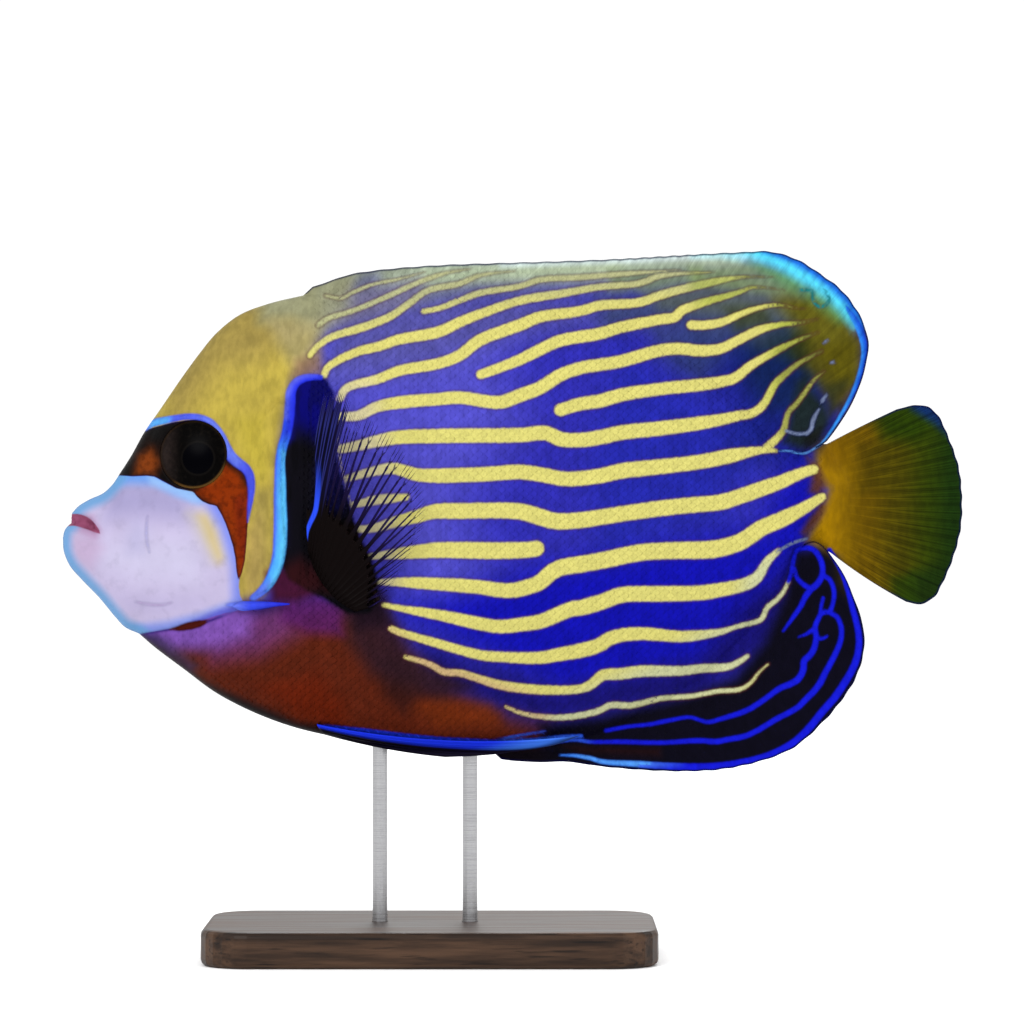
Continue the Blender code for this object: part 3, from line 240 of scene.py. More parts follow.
# Counts of the species
DORSAL_SPINES = 14
DORSAL_RAYS = 19
ANAL_SPINES = 3
ANAL_RAYS = 19
TAIL_RAYS = 17
PECTORAL_RAYS = 19
PELVIC_RAYS = 6

# Fineness of the skin
OUTLINE_STEP = 0.9
FACE_STEP = 0.92
BODY_STEP = 1.6
FACE_REAR = -66.0  # the finer spacing ends behind the gill cover
RIM_DEPTHS = (0.05, 0.22, 0.55, 1.1, 1.8)
EYE_ROWS = (-1.2, -0.5, -0.15, 0.05, 0.3, 0.6, 1.0, 1.6)
COVER_ROWS = (-1.1, -0.5, -0.2, 0.1, 0.35, 0.8, 1.4)
LIP_ROWS = (-1.0, -0.4, 0.0, 0.4, 0.9, 1.6)
FOLD_ROWS = (-0.7, 0.0, 0.7)
EYE_ROUND = 110  # points in each ring round the eye
RIM_STEP = 0.55  # along the outermost row beside the outline
RIM_SPACING = 0.1
DETAILS_INSIDE, FILL_INSIDE = 0.2, 0.3  # how far points stay inside the outline
FILL_SPACING = 0.55  # of the step, from the points of rows and details
FILLS = (  # low corner, high corner and step
    ((-151.0, 100.0), (FACE_REAR, 225.0), FACE_STEP),
    ((FACE_REAR, 60.0), (120.0, 225.0), BODY_STEP),
    ((-151.0, 60.0), (FACE_REAR, 100.0), BODY_STEP),
)
DORSAL_BETWEEN, DORSAL_ROWS = 7, 44
ANAL_BETWEEN, ANAL_ROWS = 8, 60
TAIL_BETWEEN, TAIL_ROWS = 11, 32
FINE = 0.5  # between the points of most lines
CURVE_CUTS = 24  # points between two given ones, before they are spaced evenly
LIP_STEP = 1.2
COVER_STEP = 3.2
THIN = 0.02  # where its two faces are nearer than that, a piece has a single sheet of points
STALK_LAP = 0.5  # how far the tail stalk's edge runs behind the fins' last rays
STALK_ROUNDING = 1.5
LEAST_HALF = 0.12  # half thickness of the skin where fins join it
MARGIN_HALF = 0.18  # half thickness of a fin's membrane at its margin
EDGE_HALF = 0.1  # half thickness at a median fin's very edge
EDGE_REACH = 1.1  # over which the edge is rounded
MEMBRANE_TAPER = 1.3  # power by which a median fin thins outwards
RIDGE = 0.22  # how far their rays stand out, on each face
RIDGE_RISE = (0.02, 0.3)  # shares of a ray's length over which it comes up,
RIDGE_FALL = 0.55  # and by how much it is lower at the tip
RAY_WIDTH = 0.13  # shares of the gap between two rays
PECTORAL_RAY_WIDTH = 0.17
PELVIC_RAY_WIDTH = 0.16
SOFT_SLIMMING = 0.45  # how much thinner a soft ray is at its tip
FORKS = ((0.2, 0.3, 0.62), (0.09, 0.62, 0.85))  # how far a soft ray's branches part, and where along it
FIN_STREAKS = {"dorsal": 0.3, "anal": 0.15, "tail": 1.0}  # how much the rays show in the colour,
STREAK_RISE = (0.02, 0.5)  # and the shares of a ray's length over which they come in
NOTCH_DEPTH = 0.25  # how far a fin's edge draws back between two rays,
NOTCH_MOST = 0.1  # and the largest share of the ray's length

# Scales
SCALE_PITCH = 3.0
SCALE_ROW = 1.3
SCALE_LENGTH = 4.0
SCALE_WIDTH = 2.7
SCALE_CUTS = np.array([0.0, 0.3, 0.6, 0.85, 1.0, 1.2])
SCALE_SPAN = np.array([-1.0, -0.5, 0.0, 0.5, 1.0])
SCALES_ONTO_FINS = 22.0
SCALES_REAR = 100.0
SCALES_BOX = ((-126.0, 110.0), (62.0, 236.0))  # x and z
SCALE_SCATTER = 0.12
SCALE_TURN = 0.06
SCALES_EDGE_STEP = 2.0
SMALLER_ON_FINS = 0.35
SHOWN_AT_GILL, SHOWN_LEAST = 0.15, 0.1  # shares of a scale's lift: beside the gill line, and the least
BEHIND_GILL = 0.5
THROAT_TOP, THROAT_INSIDE = 122.0, 0.4  # scales grow below that height too, so far inside the body's outline
SCALE_ROUNDING = 0.34  # share of its length by which a scale is shorter at its sides
SCALE_WAIST = 0.8  # share of the width at its root and tip
SCALE_ROOT, SCALE_RISE, SCALE_ARCH = -0.1, 0.25, 0.11  # lift at the root, gain to the tip, drop at the sides
SCALE_TUCK = (0.05, -0.25)  # the last row, under the tip: how far beyond it, and how deep
CAST_FROM = 90.0  # beside the fish
SIDE_FACING = 0.3  # least share of the skin's facing that is sideways where a scale lies on it
SCALE_SINK = 0.13
COAT_SPLIT = 10.0
SEED = 7

# UV map for baking
MAP_SCALE = 0.0023  # of the map to a millimetre
MAP_PATCH = 0.003  # size of each scale on it
MAP_X, MAP_Z = np.arange(-152.0, 153.0, 1.0), np.arange(58.0, 240.0, 0.5)  # grid over the fish
MAP_MIDDLE = 150.0  # height from which the length round the fish is counted

# Eye
PUPIL_CENTRE = (202.0, 459.0)  # in pixels of the photograph
PUPIL_RADIUS = 5.2

# Markings, in millimetres
BRINK_DEPTH = 1.0  # share of the half width that counts as distance from the fish's thin edge, where shade is painted as a dark band
LOBE_TRIM = 0.3  # how much thinner, on each side, the stripes are on the dorsal lobe and high up
LOBE_REACH = ((60.0, 80.0), (170.0, 185.0))  # where they thin, in x and z
TOP_REACH = (208.0, 220.0)
NET_SWELL = 0.05  # how much thicker the anal fin's net is on each side
STRIPE_STEP, LINE_STEP = 1.0, 0.8  # between the points of a stripe and of a line
FAR = 9.0  # cap on the distances kept with the skin

# Colours, sRGB
LIGHT_SHARE = 0.58  # of a painted colour, as the light adds the rest
FLANK = (46, 44, 172)
STRIPE = (224, 216, 122)
MUZZLE_BASE = (200, 190, 224)
MASK_BASE = (13, 10, 10)
PATCH_BASE = (11, 9, 18)
STRIPE_SHADE = (84, 40, 40)
MUZZLE_RIM = (108, 168, 222)
# painted shade: darker blue along the snout's thin edge
MUZZLE_EDGE_SHADE = (40, 84, 168)
MASK_SHADE = (30, 8, 30)
LINE_SHADE = (6, 6, 90)
LIP_ROSE = (160, 84, 118)
LIP_PLUM = (100, 38, 64)
# painted shade along the thin edges of body and fins; on the fins partly their own dark margin
FIN_MARGIN_AND_EDGE_SHADE = (4, 8, 62)
SPINE_VIOLET = (104, 122, 240)
SPINE_BLUE = (56, 76, 236)
SPINE_TIP = (40, 48, 214)
EYE_BLACK = (5, 4, 4)
EYE_FLECK = (16, 13, 10)
EYE_FRONT = (52, 42, 40)
EYE_BELOW = (116, 84, 40)
PUPIL_RIM = (24, 21, 19)
PUPIL = (1, 1, 4)
PECTORAL_OUTER = (26, 17, 66)
PECTORAL_ROOT_DARK = (12, 6, 6)
BUNDLE_DARK = (6, 5, 30)
BUNDLE_PALE = (40, 44, 116)
PECTORAL_EDGE_BLUE = (46, 84, 255)
PELVIC_WEB = (8, 5, 14)
PELVIC_RAY = (20, 12, 48)
PELVIC_BLUE = (26, 52, 232)
PELVIC_SKY = (66, 126, 248)

# Colours, linear
WOOD_DARK = (0.016, 0.009, 0.006, 1.0)
WOOD_PALE = (0.062, 0.033, 0.019, 1.0)
WOOD_PORE = (0.004, 0.003, 0.003, 1.0)
STEEL_DARK = (0.30, 0.30, 0.31, 1.0)
STEEL_PALE = (0.38, 0.38, 0.39, 1.0)
FLOOR_DARK = (0.92, 0.92, 0.92, 1.0)
FLOOR_PALE = (0.95, 0.95, 0.95, 1.0)
STROKE_EDGE = (0.4, 0.45, 0.8, 1.0)

# Stand
ROD_RADIUS = 2.5

# Studio, in metres
CAMERA_DISTANCE = 1.5
FLOOR_REACH = 2.5
WORLD_STRENGTH = 1.06
AIM = (0.0, 0.0, 0.14)
LIGHTS = {  # place, size and power
    "key": ((-0.9, -1.5, 1.3), 1.0, 26.0),
    "fill": ((1.2, -1.2, 0.7), 1.2, 9.0),
    "back": ((0.2, 1.4, 1.2), 1.0, 14.0),
}
SENSOR = 36.0  # mm
CLIP_END = 50.0

# Stripes, in pixels of the photograph: each one's middle line, then its width along the line
STRIPES = {
    "a": ([(326, 296), (342, 299), (351, 294), (372, 285), (400, 279), (425, 272)], (4, 5, 4, 1)),
    "b": ([(320, 326), (328, 320), (350, 313), (368, 306), (390, 296), (420, 282), (445, 273.5),
        (470, 269)], (5, 6, 7, 6, 1)),
    "c": ([(312, 357), (318, 349), (333, 338.5), (360, 330), (390, 318), (410, 304), (428, 291),
        (460, 283.8), (480, 275.5), (515, 271)], (5, 8, 8, 7, 1)),
    "d": ([(424, 312.5), (440, 309), (460, 301), (480, 293.4), (520, 286.4), (540, 280), (580, 277.4),
        (620, 274.2), (680, 270)], (6, 8, 7, 7, 6, 1)),
    "e": ([(326, 378), (329, 370), (340, 362), (360, 353), (380, 348), (400, 341), (440, 333), (460, 323.3),
        (480, 315), (520, 301), (560, 294), (600, 287), (640, 283.2), (660, 276), (715, 272)],
        (6, 9, 11, 10, 10, 8, 7, 1)),
    "f": ([(342, 400), (348, 390), (380, 380.5), (400, 372.5), (440, 364.8), (460, 357), (480, 341.8),
        (520, 326), (540, 317.6), (580, 311.2), (600, 305.5), (640, 302.3), (660, 295.3), (700, 285),
        (740, 277.4), (775, 277)], (7, 10, 11, 12, 11, 10, 9, 2)),
    "g": ([(481, 376), (500, 369), (520, 361), (540, 350.8), (560, 341.8), (600, 334.2), (620, 327.8),
        (660, 319.5), (675, 317), (681, 311), (700, 303.6), (740, 292), (752, 287.5), (785, 290)],
        (9, 11, 12, 11, 10, 8, 2)),
    "g_low": ([(691, 325), (700, 325.3), (720, 322.7), (740, 314.4), (760, 307.4), (780, 305), (795, 308),
        (808, 309)], (9, 9, 8, 6, 1)),
    "h": ([(343, 418), (360, 417), (380, 408), (400, 404), (440, 400.5), (460, 399), (500, 403.5),
        (520, 396.7), (540, 389), (560, 376.3), (580, 369.3), (620, 362.2), (660, 350.8), (680, 348.9),
        (700, 350.8), (720, 348.9), (740, 339.3), (760, 329.7), (780, 324.6), (800, 322.7), (818, 319)],
        (8, 12, 12, 13, 12, 12, 11, 10, 2)),
    "i": ([(560, 411), (580, 405), (600, 401.8), (620, 396), (660, 389.7), (700, 385.2), (720, 382),
        (735, 378), (750, 366), (780, 348.9), (800, 339.3), (819, 332)], (12, 13, 12, 12, 11, 8, 2)),
    "k": ([(343, 450), (360, 446.6), (380, 442), (400, 438.5), (440, 437), (520, 436), (545, 434),
        (560, 440), (578, 441), (600, 438), (620, 433.5), (660, 429), (700, 423.5), (720, 420),
        (740, 415.5), (750, 414), (760, 408), (765, 402), (769, 395), (775, 384), (790, 370), (800, 362.5),
        (822, 351)], (8, 13, 14, 14, 14, 14, 14, 13, 10, 8, 3)),
    "l": ([(824, 371), (814, 380), (803, 395), (796, 404), (789, 411), (786, 419), (784, 429), (778, 437),
        (766, 448)], (2, 5, 6, 6, 7, 8)),
    "n": ([(350, 479), (360, 476), (380, 471), (395, 469), (407, 472), (420, 475.5), (480, 475),
        (520, 472.5), (540, 475), (567, 479.5), (600, 476), (620, 471.5), (660, 467), (700, 462),
        (740, 454), (760, 450.5), (776, 451)], (6, 11, 14, 14, 14, 14, 15, 14, 14, 3)),
    "o": ([(355, 505), (365, 503), (380, 500), (395, 498.5), (408, 497)], (5, 9, 9, 6)),
    "p": ([(357, 529), (375, 528), (400, 521), (420, 516), (435, 511.5), (460, 511), (520, 511.5),
        (540, 517), (555, 521), (580, 520), (600, 517), (640, 511), (680, 506), (720, 502), (740, 496),
        (760, 489), (780, 482), (800, 473.5), (813, 469.5)], (6, 11, 15, 15, 16, 15, 15, 15, 15, 14, 9)),
    "q": ([(371, 556), (390, 554), (420, 551), (440, 549.5), (500, 550), (530, 549), (536, 548)],
        (5, 11, 15, 16, 16, 15)),
    "r": ([(378, 581), (400, 581), (440, 583), (480, 586), (500, 589), (515, 589), (530, 585), (540, 581),
        (550, 572), (560, 567), (580, 563.5), (600, 560), (640, 552), (680, 550), (705, 549.5),
        (720, 547.5), (740, 541), (760, 528), (780, 519.5), (800, 509.5), (821, 497)],
        (5, 11, 13, 14, 15, 16, 16, 16, 17, 16, 15, 8)),
    "s": ([(386, 603.5), (400, 606.5), (440, 613.5), (480, 622), (500, 625), (520, 623), (540, 620),
        (570, 608), (580, 606.5), (600, 601), (620, 594), (660, 593), (700, 592), (720, 589), (740, 585),
        (750, 581), (757, 575.5), (766, 561), (777, 550.5)], (4, 9, 12, 13, 14, 15, 15, 15, 14, 12, 5)),
    "t": ([(393, 627), (400, 630), (440, 642), (480, 653), (500, 655), (540, 656), (560, 652.5), (580, 649),
        (600, 643), (607, 638), (620, 634), (640, 632.5), (680, 635.5), (700, 634), (720, 631), (740, 625),
        (750, 623), (761, 619), (767, 607), (775, 601), (783, 592), (788, 582)],
        (6, 8, 9, 10, 12, 14, 13, 12, 10, 4, 5, 3)),
    "u": ([(407, 655), (430, 662), (445, 670), (460, 671), (480, 677), (500, 683), (540, 688), (580, 687),
        (592, 682), (601, 674), (620, 672.5), (640, 670), (680, 670), (700, 668), (728, 666.5), (740, 661),
        (747, 656)], (4, 6, 7, 9, 9, 8, 11, 11, 9, 8, 4)),
    "v": ([(506, 705), (520, 711), (540, 715), (560, 716), (580, 714), (600, 709), (610, 704), (630, 704.5),
        (660, 698), (690, 696), (718, 691), (740, 689), (750, 683), (760, 671), (768, 664)],
        (3, 5, 6, 6, 5, 4, 4, 1)),
}

# Blue and violet lines: middle line, widths, and which of LINE_COLOURS they take
LINES = {
    "brow": ([(146, 428), (155, 423), (163, 421.5), (175, 419.5), (190, 417.5), (203, 418.5), (213, 422.5),
        (220, 430), (225, 438), (229, 447), (234, 456), (241, 463), (248, 468), (252.5, 474), (254.5, 482),
        (255, 491), (254, 501), (252.5, 512), (251.5, 522)],
        (6, 8, 7, 6, 6, 6, 7, 9, 10, 10, 9, 8, 6, 4, 1), "violet"),
    "gill_edge": ([(323, 379), (310, 379), (300, 383), (294, 392), (293, 405), (292, 420), (289.5, 435),
        (285.5, 448), (283.5, 462), (283.5, 480), (283.5, 500), (284, 520), (283.5, 540), (282, 556),
        (278, 570), (272, 582), (264, 591), (256, 597)], (5, 8, 10, 10, 9, 9, 11, 12, 13, 13, 12, 10, 6),
        "sky"),
    "cheek": ([(230, 603.5), (240, 604), (250, 604.5), (262, 604.5), (274, 604)], (2, 6, 8, 8, 4), "blue"),
    "jaw_fold": ([(140, 634), (156, 631.5), (170, 629), (190, 626), (212, 620), (226, 614.5), (238, 609.5)],
        (1, 1.5, 2, 2.5, 2.5, 2, 1), "plum"),
    "jaw_slit": ([(173, 628.5), (181, 627.5), (192, 625), (203, 622.5), (212, 619.5)], (2, 6, 8, 7, 2),
        "brown"),
    "jaw_crease": ([(138, 601), (148, 603), (158, 604), (168, 603.5), (175, 601.5)],
        (0.3, 1.6, 1.8, 1.5, 0.3), "rose"),
    "cheek_crease": ([(151, 516), (150, 528), (150.5, 540), (153, 552)], (0.3, 1.4, 1.4, 0.3), "mauve"),
    "patch_edge": ([(340, 388), (340, 420), (341, 445), (343, 462), (347, 478), (351, 494), (355, 512)],
        (1, 2, 2.5, 2, 1), "beige"),
    "lobe_margin": ([(846, 307), (853, 317), (859, 328), (863, 340), (864.5, 350), (863.5, 360), (861, 371),
        (857.5, 382), (853, 393), (847.5, 404), (841, 415), (835, 425), (829, 434), (823, 442), (815, 448),
        (806, 453), (797, 453), (789, 451), (778, 451)],
        (3, 6, 7, 7, 6.5, 6, 5.5, 5, 4.5, 4, 3.5, 3, 2.5, 2, 1.8, 1.8, 1.5, 1.2), "azure"),
    "curl": ([(800, 290), (812, 291), (813, 300), (819, 307), (827, 304), (829, 297), (824, 290)],
        (2.5, 3, 2.5, 3, 2.5), "teal"),
    "lobe_bits": ([(806, 434), (811, 429), (813, 420), (819, 409)], (3, 4, 4, 2), "pale"),
    "lobe_loop": ([(786, 431), (797, 434), (808, 433)], (3, 3, 3), "pale"),
    "lobe_dash": ([(822, 401), (827, 394)], (4, 2), "pale"),
    "lobe_dot": ([(824, 343), (828, 340)], (3, 2), "pale"),
    "lobe_spot": ([(831, 363), (834, 362)], (3, 3), "pale"),
    "stalk_edge": ([(776, 551.5), (790, 543.5), (806, 538.5)], (3, 3, 3), "pale"),
    "margin_front": ([(560, 755), (575, 755.5), (590, 758), (602, 761.5), (640, 764), (665, 766)],
        (2, 4, 5, 6, 6), "sky"),
    "anal_margin": ([(640, 764.5), (690, 767), (720, 766), (750, 761), (770, 755), (785, 748), (797, 740),
        (810, 727), (822, 712), (835, 697), (845, 682), (853, 668), (857.5, 655), (859, 640), (857, 625),
        (853, 610), (848, 590), (843, 575), (836, 561), (829, 550)], (6, 7, 7, 7, 7, 7, 6, 5, 4), "deep"),
    "net_front": ([(788, 582), (791, 572), (793, 560), (796, 551), (803, 548), (812, 549), (818, 555),
        (822, 565), (822, 575), (817, 584), (811, 589), (805, 597), (800, 607), (793, 617), (788, 624),
        (783, 631)], (3, 4, 4, 5, 5, 6, 5, 4, 2), "deep"),
    "net_cell": ([(794, 568), (797, 578), (804, 585), (811, 589)], (3, 4, 5), "deep"),
    "net_rear": ([(822, 575), (829, 579), (833, 587), (834, 596), (832, 606), (830, 612), (837, 617),
        (841, 627), (841, 638), (837, 650), (831, 662), (825, 673), (820, 683), (814, 691), (806, 699),
        (798, 707), (788, 713), (778, 718), (768, 724), (758, 730), (745, 736), (730, 739), (715, 741.5),
        (700, 740.5), (660, 742.5), (620, 741.5), (590, 741.5), (575, 739.5), (555, 742), (540, 744)],
        (4, 4, 5, 6, 5, 5, 5, 4, 4, 3, 2), "deep"),
    "net_middle": ([(830, 612), (822, 613), (818, 619), (815, 627), (816, 638), (814, 648), (810, 655),
        (804, 661), (803, 670), (798, 679), (790, 684), (780, 688), (770, 695), (762, 701), (750, 708.5),
        (740, 713), (730, 716), (720, 719), (708, 722), (700, 720), (690, 717), (670, 720), (650, 724),
        (630, 726), (606, 730)], (4, 5, 6, 6, 5, 5, 4, 3, 4, 3, 4), "deep"),
    "net_spur": ([(815, 628), (806, 634), (798, 637)], (4, 3, 1), "deep"),
    "net_hook": ([(816, 638), (822, 638.5), (827, 636)], (4, 3, 2), "deep"),
    "net_speck": ([(823, 598), (821, 606), (820, 613)], (3, 3, 3), "deep"),
    "fin_edge": ([(325, 726), (343, 728.5), (360, 731), (380, 733.5), (400, 736), (440, 740), (480, 741.5),
        (500, 742), (540, 739.5), (562, 736.5), (581, 735.5)], (5, 9, 9, 9, 8, 7, 6, 4), "blue"),
    "fin_upper": ([(480, 741), (505, 737), (520, 734), (545, 730)], (2, 3, 2), "dusk"),
}
LINE_COLOURS = {  # sRGB
    "violet": (84, 100, 232), "sky": (66, 142, 248), "blue": (34, 62, 226), "pale": (128, 140, 164),
    "beige": (196, 178, 164), "azure": (58, 156, 240), "teal": (30, 138, 128), "deep": (20, 26, 214),
    "dusk": (52, 22, 100), "plum": (74, 44, 128), "brown": (78, 20, 12), "rose": (222, 194, 218),
    "mauve": (216, 208, 238),
}
LINE_WASHES = [
    ((20, 72, 200), 2.5, 0.95, [(843, 303), (853, 317), (859.5, 331), (863.2, 344), (863.5, 356),
        (860, 371), (854, 391), (845.5, 411), (837, 428), (880, 430), (890, 340), (860, 290)]),
    ((140, 160, 255), 8, 0.85, [(222, 596), (246, 596), (246, 612), (222, 612)]),
    ((40, 50, 232), 12, 0.95, [(286, 366), (345, 366), (345, 400), (306, 436), (284, 440)]),
    ((86, 186, 255), 16, 0.85, [(272, 480), (294, 480), (296, 560), (276, 586), (268, 570)]),
    ((100, 208, 255), 3, 0.9, [(285.5, 452), (296, 452), (296, 560), (284, 584), (272, 594), (270, 586),
        (278, 574), (283, 560), (285, 540), (284.5, 500)]),
    ((80, 96, 236), 3, 0.8, [(270, 455), (280.5, 455), (280, 500), (280.5, 530), (278, 556), (270, 574),
        (262, 584), (254, 590), (252, 580), (266, 560), (270, 530)]),
    ((120, 124, 232), 4, 0.8, [(284, 372), (325, 368), (325, 376), (306, 379), (296, 386), (291, 400),
        (290, 420), (284, 420)]),
    ((104, 122, 240), 7, 0.8, [(244, 586), (274, 580), (268, 604), (244, 606)]),
    ((92, 184, 250), 6, 0.9, [(148, 418), (172, 414), (174, 430), (148, 434)]),
    ((112, 134, 242), 9, 0.8, [(200, 412), (222, 416), (250, 456), (240, 470), (222, 446)]),
    ((72, 80, 224), 6, 0.8, [(244, 466), (262, 466), (262, 526), (246, 526)]),
    ((128, 186, 236), 7, 0.8, [(776, 440), (822, 440), (826, 450), (812, 458), (776, 456)]),
    ((96, 172, 255), 10, 0.7, [(575, 748), (640, 754), (680, 762), (640, 772), (575, 764)]),
    ((60, 118, 246), 8, 0.8, [(500, 728), (590, 726), (590, 748), (500, 750)]),
]

# Closed patches with a clear edge
MUZZLE = [
    (100, 476), (121, 475.5), (135, 476.5), (150, 476), (158, 477), (165, 481), (180, 488.5), (197, 492),
    (203, 495), (208, 499), (215, 502), (223, 503), (230, 514), (234, 524), (238, 536), (241, 548),
    (243, 560), (243.5, 572), (242, 584), (243, 594), (247, 602), (242, 609), (228, 612), (215, 616),
    (200, 621), (185, 625.5), (170, 629), (150, 632), (137, 635), (110, 640), (40, 600), (40, 480),
]
MASK = [
    (90, 476), (121, 475.5), (135, 476.5), (150, 476), (158, 477), (180, 488.5), (197, 492), (201, 497),
    (206, 501.5), (213, 504.5), (220, 506), (225, 514), (229.5, 524), (233, 534), (236.5, 545), (239, 558),
    (240, 570), (242, 581), (245.5, 572), (248.5, 560), (250, 545), (251, 530), (252, 515), (253, 500),
    (253.5, 487), (251, 476), (245, 468), (236, 461), (230, 452), (225, 440), (219, 431), (212, 424),
    (203, 419.5), (190, 421), (175, 423), (163, 426), (150, 429), (138, 430), (90, 432),
]
PATCH = [
    (318, 378), (328, 380), (336, 394), (338, 420), (338.5, 450), (341, 468), (346, 485), (351, 500),
    (356, 520), (364, 540), (374, 560), (380, 580), (382, 600), (372, 611), (350, 612), (328, 598),
    (308, 588), (292, 578), (284, 562), (284, 530), (283, 500), (281, 478), (282, 455), (289, 430),
    (291, 405), (297, 388), (308, 379),
]

